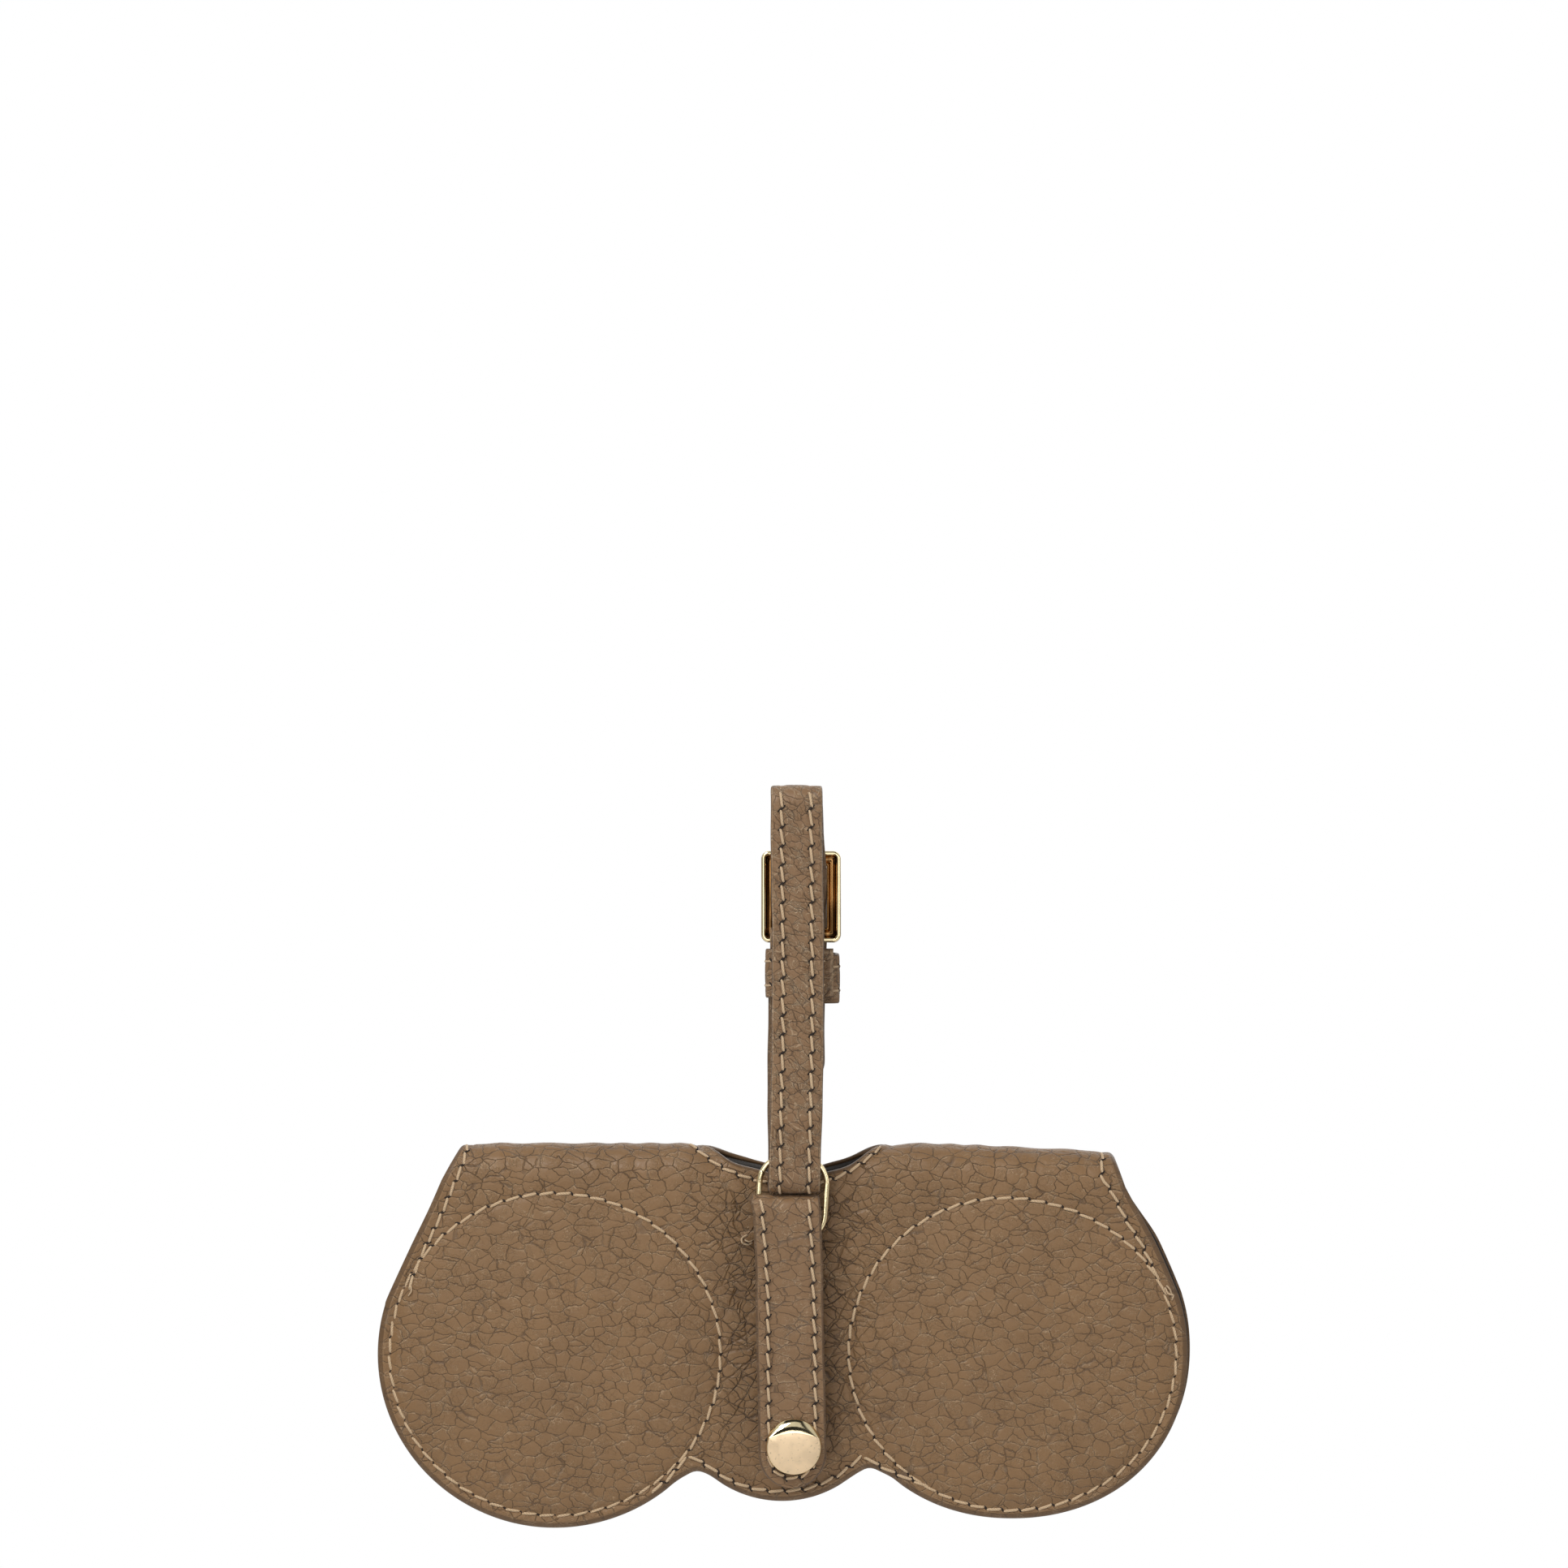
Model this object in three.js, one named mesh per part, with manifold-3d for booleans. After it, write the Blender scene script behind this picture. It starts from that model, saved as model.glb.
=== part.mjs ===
// Soft two-lobed glasses case: two padded panels under a folded top, a tab with a press snap,
// and an oval ring on a buckled strap loop. Millimetres, +Z up, front faces -Y.
import * as THREE from 'three';
import { mergeVertices } from 'three/addons/utils/BufferGeometryUtils.js';
import Module from 'manifold-3d';

const wasm = await Module();
wasm.setup();

// ---- Driving dimensions (mm) ----
const LEATHER = 1.4; // panel leather thickness
const BOARD = 1.1; // interlining and pad thickness
const LINING = 0.8; // panel lining thickness
const LAYER_GAP = 0.05; // between glued layers
const POCKET = 6.0; // clear depth for the glasses
const FRONT_Y = 4.0; // outer face of the front panel
const TOP_Z = -67.1; // top of the two folds
const CORNER = { left: -64.2, right: 61.5 }; // ends of the folds
const NOTCH = { left: -15.5, right: 16.1, bottomZ: -73.8 }; // dip between the folds
const LOBE = { left: -45.5, right: 41.8, z: -106.7, r: 33.6 }; // the two lens lobes
const CHIN = { x: -1.9, z: -110.2, r: 24.7 }; // small lobe between them
const PAD_R = 29.8;
const EDGE_STITCH = 1.9; // outer side of the edge thread, in from the edge
const THREAD = 0.6; // thread width
const THREAD_LIFT = 0.3; // how far a thread stands proud
const TOUCH = 0.02; // between a thread and what it lies on

const STRAP_X = 0.3; // strap centre line
const STRAP_HALF = 5.0;
const STRAP_SKIN = 1.0; // strap leather thickness
const STRAP_RUN = 3.3; // half the strap loop's depth, at the glue line
const STRAP_STITCH = 2.9; // stitch rows either side of the strap centre
const FOLD_R = 2.4; // bottom fold's glue line radius
const FOLD_Z = -72.3; // bottom fold's centre
const BAR = { y: 4.0, z: -27.35 }; // buckle's heel bar
const CHAPE_R = 1.2; // strap's inner radius round the bar
const RUN_Y = 5.6; // glue line of the back run below the buckle
const TAIL_Y = 7.9; // glue line of the tail outside that run
const TAIL_TIP_Z = -55;

const BUCKLE = { x: 0.6, half: 7.6, height: 17.5, limb: 2.0, thick: 1.5, tilt: 6.5 };
const KEEPER = { x0: -6.2, x1: 8.0, y0: 2.4, y1: 10.2, wall: 0.8, top: -30.2, bottom: -39.4 };

const RING = { z: -76.8, halfWidth: 6.35, halfHeight: 7.95, corner: 4.5, wire: 0.55 };

const TAB_HALF = 6.6;
const TAB_NECK = 5.4;
const TAB_FOLD = { z: -79.8, inner: 1.5, outer: 3.3 };
const TAB_BACK_END = -100;
const TAB_SKIN = 0.95;
const RIVET_Z = -93;
const SNAP_Z = -124.6;
const HINGE_GAP = 0.3;

const POCKET_Y = FRONT_Y + LEATHER + BOARD + LINING + 2 * LAYER_GAP + POCKET / 2;
const HALF_DEPTH = POCKET_Y - FRONT_Y;
const CREASE_Z = TOP_Z - HALF_DEPTH; // where each panel meets the fold

// ---- Materials ----
function material(color, roughness, metalness = 0) {
  return new THREE.MeshStandardMaterial({ color, roughness, metalness });
}
const taupe = material(0x8a7056, 0.6);
const taupeFine = material(0x94795d, 0.55);
const liningCloth = material(0x3b3632, 0.85);
const board = material(0xb9a98f, 0.9);
const foam = material(0x5a5148, 0.95);
const threadTan = material(0xc8aa84, 0.7);
const paleGold = material(0xd9c08c, 0.25, 1);
const steel = material(0xa9a7a2, 0.35, 1);

// ---- Plane geometry ----
const P = (a, b) => new THREE.Vector2(a, b);
const rad = THREE.MathUtils.degToRad;

function arc(cx, cy, r, fromDeg, toDeg, steps = 24) {
  const points = [];
  for (let i = 0; i <= steps; i++) {
    const a = rad(fromDeg + ((toDeg - fromDeg) * i) / steps);
    points.push(P(cx + r * Math.cos(a), cy + r * Math.sin(a)));
  }
  return points;
}

// Moves each point of a path to the left of its direction by d, with mitred corners.
function offset(points, d, closed = false) {
  const n = points.length;
  const left = (a, b) => P(a.y - b.y, b.x - a.x).normalize();
  return points.map((p, i) => {
    const before = closed || i > 0 ? left(points[(i + n - 1) % n], p) : null;
    const after = closed || i < n - 1 ? left(p, points[(i + 1) % n]) : null;
    const a = before ?? after;
    const b = after ?? before;
    const mid = a.clone().add(b).normalize();
    return p.clone().addScaledVector(mid, d / Math.max(mid.dot(a), 0.5));
  });
}

// The outline of a strip that lies from d0 to d1 to the left of an open path.
function strip(path, d0, d1) {
  return new THREE.Shape([...offset(path, d1), ...offset(path, d0).reverse()]);
}

function bend(points, steps = 16) {
  return new THREE.SplineCurve(points).getPoints(steps);
}

// ---- Solids ----
// Extrudes an outline drawn in X and Z from y0 to y1.
function plate(shape, y0, y1) {
  const g = new THREE.ExtrudeGeometry(shape, { depth: y1 - y0, bevelEnabled: false, curveSegments: 32 });
  return g.rotateX(Math.PI / 2).translate(0, y1, 0);
}

// Extrudes an outline drawn in Y and Z from x0 to x1.
function bar(shape, x0, x1) {
  const g = new THREE.ExtrudeGeometry(shape, { depth: x1 - x0, bevelEnabled: false, curveSegments: 24 });
  const turn = new THREE.Matrix4().makeBasis(
    new THREE.Vector3(0, 1, 0),
    new THREE.Vector3(0, 0, 1),
    new THREE.Vector3(1, 0, 0),
  );
  return g.applyMatrix4(turn).translate(x0, 0, 0);
}

function box(x0, x1, y0, y1, z0, z1) {
  const g = new THREE.BoxGeometry(x1 - x0, y1 - y0, z1 - z0);
  return g.translate((x0 + x1) / 2, (y0 + y1) / 2, (z0 + z1) / 2);
}

// A solid of revolution about a line along Y through (x, z), from [radius, y] pairs.
function turned(profile, x, z) {
  const g = new THREE.LatheGeometry(profile.map(([r, y]) => P(r, y)), 40);
  return g.translate(x, 0, z);
}

function disc(r, y0, y1, x, z) {
  return turned([[0, y0], [r, y0], [r, y1], [0, y1]], x, z);
}

function manifold(geometry) {
  const bare = new THREE.BufferGeometry();
  const flat = geometry.index ? geometry.toNonIndexed() : geometry;
  bare.setAttribute('position', flat.getAttribute('position').clone());
  const welded = mergeVertices(bare, 1e-4);
  return new wasm.Manifold(new wasm.Mesh({
    numProp: 3,
    vertProperties: new Float32Array(welded.getAttribute('position').array),
    triVerts: new Uint32Array(welded.index.array),
  }));
}

function geometryOf(solid) {
  const mesh = solid.getMesh();
  const g = new THREE.BufferGeometry();
  g.setAttribute('position', new THREE.BufferAttribute(new Float32Array(mesh.vertProperties), 3));
  g.setIndex(new THREE.BufferAttribute(new Uint32Array(mesh.triVerts), 1));
  return g;
}

function cut(geometry, ...tools) {
  return geometryOf(tools.reduce((s, t) => s.subtract(manifold(t)), manifold(geometry)));
}

function common(a, b) {
  return geometryOf(manifold(a).intersect(manifold(b)));
}

function joined(a, b) {
  return geometryOf(manifold(a).add(manifold(b)));
}

const part = new THREE.Group();
part.name = 'glasses_case';

function add(name, geometry, mat) {
  const mesh = new THREE.Mesh(geometry, mat);
  mesh.name = name;
  part.add(mesh);
}

// ---- Case outline ----
function notchPath() {
  const points = [];
  const middle = (NOTCH.left + NOTCH.right) / 2;
  const half = (NOTCH.right - NOTCH.left) / 2;
  for (let i = 0; i <= 16; i++) {
    const t = 1 - i / 8;
    const drop = (1 + Math.cos(Math.PI * t)) / 2;
    points.push(P(middle + half * t, TOP_Z + (NOTCH.bottomZ - TOP_Z) * drop));
  }
  return points;
}

function caseOutline(inset = 0) {
  const points = [
    P(CORNER.left, TOP_Z),
    ...arc(LOBE.left, LOBE.z, LOBE.r, 145, 320, 44),
    ...arc(CHIN.x, CHIN.z, CHIN.r, 227, 313, 14),
    ...arc(LOBE.right, LOBE.z, LOBE.r, 220, 395, 44),
    P(CORNER.right, TOP_Z),
    ...notchPath(),
  ];
  return inset ? offset(points, inset, true) : points;
}

const FAR = 200;

function belowZ(geometry, z) {
  return common(geometry, box(-FAR, FAR, -FAR, FAR, -FAR, z));
}

// One flat panel layer: the outline from the crease down, with round holes [x, z, r].
function panelLayer(inset, y0, y1, topZ, holes) {
  const sheet = belowZ(plate(new THREE.Shape(caseOutline(inset)), y0, y1), topZ);
  return cut(sheet, ...holes.map(([x, z, r]) => disc(r, y0 - 1, y1 + 1, x, z)));
}

// One layer of a fold: a half tube along X, trimmed to the outline.
function foldLayer(inset, rIn, rOut, side) {
  const path = [...arc(POCKET_Y, CREASE_Z, rIn, 180, 0, 20)];
  const half = bar(strip(path, 0, rOut - rIn), side < 0 ? -FAR : 0, side < 0 ? 0 : FAR);
  return common(half, plate(new THREE.Shape(caseOutline(inset)), 0, 30));
}

function addFolds() {
  const layers = [
    ['fold_leather', 0, HALF_DEPTH - LEATHER, HALF_DEPTH, taupe],
    ['fold_interlining', 1, POCKET / 2 + LINING + LAYER_GAP, HALF_DEPTH - LEATHER - LAYER_GAP, board],
    ['fold_lining', 0.4, POCKET / 2, POCKET / 2 + LINING, liningCloth],
  ];
  for (const [name, inset, rIn, rOut, mat] of layers) {
    add(`${name}_left`, foldLayer(inset, rIn, rOut, -1), mat);
    add(`${name}_right`, foldLayer(inset, rIn, rOut, 1), mat);
  }
}

// The layers of one panel, outside to inside. s is +1 from the front face inwards, -1 from the back.
function addPanel(side, faceY, s, topZ, studHole) {
  const span = (a, b) => (s > 0 ? [faceY + a, faceY + b] : [faceY - b, faceY - a]);
  const boardAt = LEATHER + LAYER_GAP;
  const liningAt = boardAt + BOARD + LAYER_GAP;
  const pads = [[LOBE.left, LOBE.z, PAD_R + 0.2], [LOBE.right, LOBE.z, PAD_R + 0.2]];
  const openings = studHole ? [[0, SNAP_Z, studHole]] : [];
  const rivet = studHole ? [[0, RIVET_Z, 1.1]] : [];
  const stud = studHole ? [] : [[0, SNAP_Z, 1.6]];
  add(`${side}_leather`, panelLayer(0, ...span(0, LEATHER), topZ, [...openings, ...rivet]), taupe);
  add(
    `${side}_interlining`,
    panelLayer(2, ...span(boardAt, boardAt + BOARD), topZ - 0.4, [...pads, [0, SNAP_Z, 4.7], [0, RIVET_Z, 2.5]]),
    board,
  );
  add(`${side}_pad_left`, disc(PAD_R, ...span(boardAt, boardAt + BOARD), LOBE.left, LOBE.z), foam);
  add(`${side}_pad_right`, disc(PAD_R, ...span(boardAt, boardAt + BOARD), LOBE.right, LOBE.z), foam);
  add(
    `${side}_lining`,
    panelLayer(0.4, ...span(liningAt, liningAt + LINING), topZ, [...openings, ...stud]),
    liningCloth,
  );
}

function addFrontThreads() {
  const y1 = FRONT_Y - TOUCH;
  const y0 = y1 - THREAD_LIFT;
  const edge = new THREE.Shape(caseOutline(EDGE_STITCH));
  edge.holes.push(new THREE.Path(caseOutline(EDGE_STITCH + THREAD)));
  add('front_edge_thread', belowZ(plate(edge, y0, y1), NOTCH.bottomZ - 3), threadTan);
  for (const side of ['left', 'right']) {
    const circle = new THREE.Shape(arc(LOBE[side], LOBE.z, PAD_R + 0.9, 0, 354, 59));
    circle.holes.push(new THREE.Path(arc(LOBE[side], LOBE.z, PAD_R + 0.9 - THREAD, 0, 354, 59)));
    add(`front_circle_thread_${side}`, plate(circle, y0, y1), threadTan);
  }
}

// ---- Tab and snap ----
function tabOutline(inset) {
  return offset([
    P(-TAB_NECK, TAB_FOLD.z - HINGE_GAP),
    P(-TAB_NECK, -86.5),
    P(-TAB_HALF, -89.5),
    ...arc(0, -132.4 + TAB_HALF, TAB_HALF, 180, 360, 24),
    P(TAB_HALF, -89.5),
    P(TAB_NECK, -86.5),
    P(TAB_NECK, TAB_FOLD.z - HINGE_GAP),
  ], inset);
}

function addTab() {
  const { z, inner, outer } = TAB_FOLD;
  const loop = [P(-inner, z), ...arc(0, z, inner, 180, 0, 20).slice(1), P(inner, TAB_BACK_END)];
  add(
    'tab_loop',
    cut(bar(strip(loop, 0, outer - inner), -TAB_NECK, TAB_NECK), disc(1.1, 0, 5, 0, RIVET_Z)),
    taupeFine,
  );
  const face = new THREE.Shape(tabOutline(0));
  const hole = disc(1.7, -9, 0, 0, SNAP_Z);
  add('tab_leather', cut(plate(face, -outer, -outer + TAB_SKIN), hole), taupeFine);
  add('tab_lining', cut(plate(face, -outer + TAB_SKIN + LAYER_GAP, -inner), hole), liningCloth);
  const seam = strip(tabOutline(EDGE_STITCH), 0, THREAD);
  add('tab_thread', plate(seam, -outer - TOUCH - THREAD_LIFT, -outer - TOUCH), threadTan);
  const rivet = [[0, 0.8], [1.6, 0.8], [2.0, 1.1], [2.0, 1.45], [1.0, 1.45], [1.0, 5.5], [2.0, 5.5], [2.0, 6.3], [0, 6.3]];
  add('tab_rivet', turned(rivet, 0, RIVET_Z), steel);
}

function addSnap() {
  const cap = [[0, -4.9], [4.3, -4.9], [5.0, -4.6], [5.3, -4.1], [5.3, -3.65], [0, -3.65]];
  add('snap_cap', turned(cap, 0, SNAP_Z), paleGold);
  const socket = [
    [0, -3.6], [1.4, -3.6], [1.4, -1.45], [4.4, -1.45], [4.4, -0.2], [4.0, 0.2], [2.3, 0.2], [2.3, -1.3], [0, -1.3],
  ];
  add('snap_socket', turned(socket, 0, SNAP_Z), steel);
  const post = FRONT_Y + 2 * HALF_DEPTH - LEATHER - LAYER_GAP - BOARD;
  const stud = [
    [0, -1.0], [1.2, -1.0], [1.9, -0.6], [1.9, 0.0], [1.5, 0.5], [1.5, 11.9], [4.5, 11.9], [4.5, 12.9],
    [1.5, 12.9], [1.5, post], [4.0, post], [4.0, post + BOARD], [0, post + BOARD],
  ];
  add('snap_stud', turned(stud, 0, SNAP_Z), steel);
  const eyelet = [[3.2, 3.2], [4.6, 3.2], [4.6, 3.9], [4.1, 3.9], [4.1, 7.5], [3.2, 7.5], [3.2, 3.2]];
  add('stud_eyelet', turned(eyelet, 0, SNAP_Z), steel);
}

// ---- Ring ----
function addRing() {
  const { z, halfWidth, halfHeight, corner, wire } = RING;
  const cx = halfWidth - corner;
  const cz = halfHeight - corner;
  const flat = [
    ...arc(cx, z + cz, corner, 0, 90, 10),
    ...arc(-cx, z + cz, corner, 90, 180, 10),
    ...arc(-cx, z - cz, corner, 180, 270, 10),
    ...arc(cx, z - cz, corner, 270, 360, 10),
  ];
  const curve = new THREE.CatmullRomCurve3(flat.map((p) => new THREE.Vector3(p.x, 0, p.y)), true);
  add('oval_ring', new THREE.TubeGeometry(curve, 96, wire, 12, true), paleGold);
}

// ---- Strap, buckle and keeper ----
// The strap's glue line from below the buckle, down, round the ring, up the front, over and down the tail.
function strapLoop() {
  return [
    P(RUN_Y, -31.8),
    ...bend([P(RUN_Y, -51), P(5.0, -55), P(3.3, -60), P(2.7, -64), P(FOLD_R, -68)]),
    ...arc(0, FOLD_Z, FOLD_R, 0, -180, 20),
    ...bend([P(-FOLD_R, -69.5), P(-2.75, -65), P(-STRAP_RUN, -60)], 8),
    ...arc(0, -2.35, STRAP_RUN, 180, 0, 20),
    ...bend([P(STRAP_RUN, -13), P(3.9, -16), P(5.6, -19.7), P(7.3, -23.2), P(TAIL_Y, -26.5)]),
    P(TAIL_Y, TAIL_TIP_Z),
  ];
}

// The strap leather goes on up from there, over the heel bar and back down inside.
function chape() {
  return [
    P(RUN_Y - 1.05, -41),
    P(RUN_Y - 1.05, -29.6),
    P(BAR.y - CHAPE_R, -28.3),
    ...arc(BAR.y, BAR.z, CHAPE_R, 180, 0, 16),
    P(RUN_Y, -29.2),
  ];
}

function addStrap() {
  const x0 = STRAP_X - STRAP_HALF;
  const x1 = STRAP_X + STRAP_HALF;
  const prongSlot = box(STRAP_X - 1, STRAP_X + 1, 0.2, 6.8, -30.4, -24);
  const prongHole = box(STRAP_X - 0.95, STRAP_X + 0.95, 2, 9, -25, -16);
  const tailHoles = [-44, -49].map((z) => box(STRAP_X - 0.6, STRAP_X + 0.6, 6.8, 10, z - 0.6, z + 0.6));
  const skin = bar(strip([...chape(), ...strapLoop()], 0, STRAP_SKIN), x0, x1);
  add('strap_leather', cut(skin, prongSlot, prongHole, ...tailHoles), taupeFine);
  const inside = bar(strip(strapLoop(), -0.95, -LAYER_GAP), x0 + 0.1, x1 - 0.1);
  add('strap_lining', cut(inside, prongHole, ...tailHoles), taupe);
  const seamPath = strapLoop().filter((p, i, all) => i > 0 && !(p.x > 0 && i > all.length / 2 && p.y < -12));
  const lift = STRAP_SKIN + TOUCH;
  for (const [side, s] of [['left', -1], ['right', 1]]) {
    const x = STRAP_X + s * STRAP_STITCH;
    add(`strap_thread_${side}`, bar(strip(seamPath, lift, lift + THREAD_LIFT), x - THREAD / 2, x + THREAD / 2), threadTan);
  }
}

function addBuckle() {
  const { x, half, height, limb, thick, tilt } = BUCKLE;
  const heel = thick / 2;
  const r = 2.5;
  const outer = new THREE.Shape([
    ...arc(x + half - r, height - heel - r, r, 0, 90, 8),
    ...arc(x - half + r, height - heel - r, r, 90, 180, 8),
    ...arc(x - half + r, r - heel, r, 180, 270, 8),
    ...arc(x + half - r, r - heel, r, 270, 360, 8),
  ]);
  const top = height - heel - 2.4;
  outer.holes.push(new THREE.Path([
    P(x - half + limb, heel), P(x - half + limb, top), P(x + half - limb, top), P(x + half - limb, heel),
  ]));
  const frame = plate(outer, -thick / 2, thick / 2).rotateX(-rad(tilt)).translate(0, BAR.y, BAR.z);
  add('buckle_frame', frame, paleGold);
  const eye = new THREE.Shape(arc(BAR.y, BAR.z, 1.75, 0, 348, 29));
  eye.holes.push(new THREE.Path(arc(BAR.y, BAR.z, CHAPE_R, 0, 348, 29)));
  const from = P(BAR.y + 1.3, BAR.z + 0.9);
  const tip = P(7.5, -12.0);
  const arm = bar(strip([from, P(6.35, -19.0), tip], -0.5, 0.5), STRAP_X - 0.6, STRAP_X + 0.6);
  add('buckle_prong', joined(bar(eye, STRAP_X - 0.6, STRAP_X + 0.6), arm), paleGold);
}

function addKeeper() {
  const { x0, x1, y0, y1, wall, top, bottom } = KEEPER;
  const outer = box(x0, x1, y0, y1, bottom, top);
  const core = box(-5.0, 6.6, y0 + wall, y1 - 1, bottom - 1, top + 1);
  add('keeper_loop', cut(outer, core), taupeFine);
  for (const [name, z] of [['upper', top - 2.4], ['lower', bottom + 2.4]]) {
    const o = TOUCH + THREAD_LIFT;
    const rim = box(x0 - o, x1 + o, y0 - o, y1 + o, z - THREAD / 2, z + THREAD / 2);
    const inner = box(x0 - TOUCH, x1 + TOUCH, y0 - TOUCH, y1 + TOUCH, z - 1, z + 1);
    add(`keeper_thread_${name}`, cut(rim, inner), threadTan);
  }
}

addStrap();
addBuckle();
addKeeper();
addRing();
addTab();
addSnap();
addPanel('front', FRONT_Y, 1, CREASE_Z - LAYER_GAP, 4.2);
addPanel('back', FRONT_Y + 2 * HALF_DEPTH, -1, CREASE_Z - HINGE_GAP, 0);
addFolds();
addFrontThreads();

export default part;
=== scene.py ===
"""A soft two-lobed glasses case on a buckled strap. Lengths here are millimetres until a mesh is made."""

import math
from types import SimpleNamespace

import bmesh
import bpy
import numpy as np
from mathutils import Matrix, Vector
from mathutils.geometry import delaunay_2d_cdt


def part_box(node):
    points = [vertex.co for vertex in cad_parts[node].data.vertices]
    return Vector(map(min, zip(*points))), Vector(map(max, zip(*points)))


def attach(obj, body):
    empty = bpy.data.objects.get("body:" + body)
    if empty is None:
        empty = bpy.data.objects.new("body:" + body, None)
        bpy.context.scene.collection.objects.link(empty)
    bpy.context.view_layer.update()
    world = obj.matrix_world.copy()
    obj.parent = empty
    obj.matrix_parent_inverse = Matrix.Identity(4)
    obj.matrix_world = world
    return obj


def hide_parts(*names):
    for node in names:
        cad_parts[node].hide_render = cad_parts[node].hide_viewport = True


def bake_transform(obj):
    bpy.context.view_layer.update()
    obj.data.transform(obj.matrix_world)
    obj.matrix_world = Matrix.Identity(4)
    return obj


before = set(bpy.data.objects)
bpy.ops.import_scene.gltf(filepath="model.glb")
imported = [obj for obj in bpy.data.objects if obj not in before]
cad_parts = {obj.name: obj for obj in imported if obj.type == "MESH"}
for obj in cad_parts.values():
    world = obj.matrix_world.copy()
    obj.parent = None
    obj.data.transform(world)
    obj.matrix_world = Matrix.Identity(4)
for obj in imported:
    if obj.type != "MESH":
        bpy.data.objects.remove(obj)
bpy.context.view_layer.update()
MM = 0.001


def box_mm(node):
    """The lowest and highest corner of a CAD node, in millimetres."""
    low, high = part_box(node)
    return np.array(low) / MM, np.array(high) / MM


# ---- Sizes from the frame ----
FRONT_LOW, FRONT_HIGH = box_mm("front_leather")
FACE_Y = FRONT_LOW[1]
REAR_Y = box_mm("back_leather")[1][1]
FOLD_R = (REAR_Y - FACE_Y) / 2
MID_Y = (REAR_Y + FACE_Y) / 2
CREASE_Z = box_mm("fold_leather_left")[1][2] - FOLD_R
SKIN = FRONT_HIGH[1] - FRONT_LOW[1]
LINING_IN = box_mm("front_lining")[1][1] - FACE_Y  # depth of the lining's inner face
LEFT = sum(box_mm("front_pad_left")) / 2
RIGHT = sum(box_mm("front_pad_right")) / 2
CAP_LOW, CAP_HIGH = box_mm("snap_cap")
SNAP = (CAP_LOW + CAP_HIGH) / 2
STRAP_X = sum(box_mm("strap_leather"))[0] / 2
RING_LOW, RING_HIGH = box_mm("oval_ring")
TAB_FOOT_Z = box_mm("tab_leather")[0][2]
LOOP_LOW, LOOP_HIGH = box_mm("tab_loop")
BUCKLE_LOW, BUCKLE_HIGH = box_mm("buckle_frame")
KEEPER_LOW, KEEPER_HIGH = box_mm("keeper_loop")

# ---- The looks' own sizes ----
BACK_SHIFT = 1.1  # the back panel stands out to the right of the front one
LINING_INSET = 0.5
STITCH = 3.25  # pitch of the case's stitches
STRAP_STITCH = 3.5
THREAD_R = 0.28
HEM = 2.4  # edge stitching, in from the edge
LENS_PUFF, HEM_PUFF = 1.9, 0.45  # how far the lenses and the rest stand out
LENS_FURROW, HEM_FURROW, FURROW = 0.3, 0.22, 0.12  # depths of the furrows that stitches pull in
EDGE_ROLL, MIDDLE_DIP = 0.75, 0.7  # how far the edges and the middle under the tab go back
LENS_LEFT = (LEFT[0] - 0.1, LEFT[2] - 0.1, 31.6, 30.8)  # stitched ellipses: x, z and radii
LENS_RIGHT = (RIGHT[0], RIGHT[2] + 0.2, 31.3, 30.1)


# ---- curves ----
def arc(cx, cz, rx, rz, start, end, steps, power=2.0):
    """Points of an ellipse or superellipse, angles in degrees."""
    out = []
    for i in range(steps + 1):
        a = math.radians(start + (end - start) * i / steps)
        c, s = math.cos(a), math.sin(a)
        k = (abs(c) ** power + abs(s) ** power) ** (-1 / power)
        out.append((cx + rx * k * c, cz + rz * k * s))
    return out


def smooth_line(points, step):
    """A Catmull-Rom curve through the points, resampled about step apart."""
    p = np.array(points, float)
    p = np.vstack([2 * p[0] - p[1], p, 2 * p[-1] - p[-2]])
    out = []
    for i in range(1, len(p) - 2):
        for t in np.linspace(0, 1, 12, endpoint=False):
            a, b, c, d = p[i - 1], p[i], p[i + 1], p[i + 2]
            square, cube = 2 * a - 5 * b + 4 * c - d, 3 * b - a - 3 * c + d
            out.append(0.5 * (2 * b + (c - a) * t + square * t**2 + cube * t**3))
    out.append(p[-2])
    return resample(np.array(out), step)


def lengths(line):
    return np.concatenate([[0], np.cumsum(np.linalg.norm(np.diff(line, axis=0), axis=1))])


def resample(line, step):
    """The polyline again with points step apart."""
    line = np.array(line, float)
    along = lengths(line)
    n = max(2, int(round(along[-1] / step)) + 1)
    at = np.linspace(0, along[-1], n)
    return columns(*(np.interp(at, along, values) for values in line.T))


def columns(*values):
    """Points whose coordinates are arrays or single numbers."""
    return np.stack(np.broadcast_arrays(*values), axis=-1)


def headings(line):
    """The unit direction along a line at each of its points."""
    step = np.gradient(np.asarray(line, float), axis=0)
    return step / np.linalg.norm(step, axis=1)[:, None]


def inward(ring):
    """The unit direction into a closed outline at each of its points."""
    along = np.roll(ring, -1, axis=0) - np.roll(ring, 1, axis=0)
    return columns(-along[:, 1], along[:, 0]) / np.linalg.norm(along, axis=1)[:, None]


def ramp(x, low, high):
    """0 below low, 1 above high, smooth between."""
    t = np.clip((x - low) / (high - low), 0, 1)
    return t * t * (3 - 2 * t)


def bell(x, width):
    return np.exp(-((x / width) ** 2))


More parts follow.
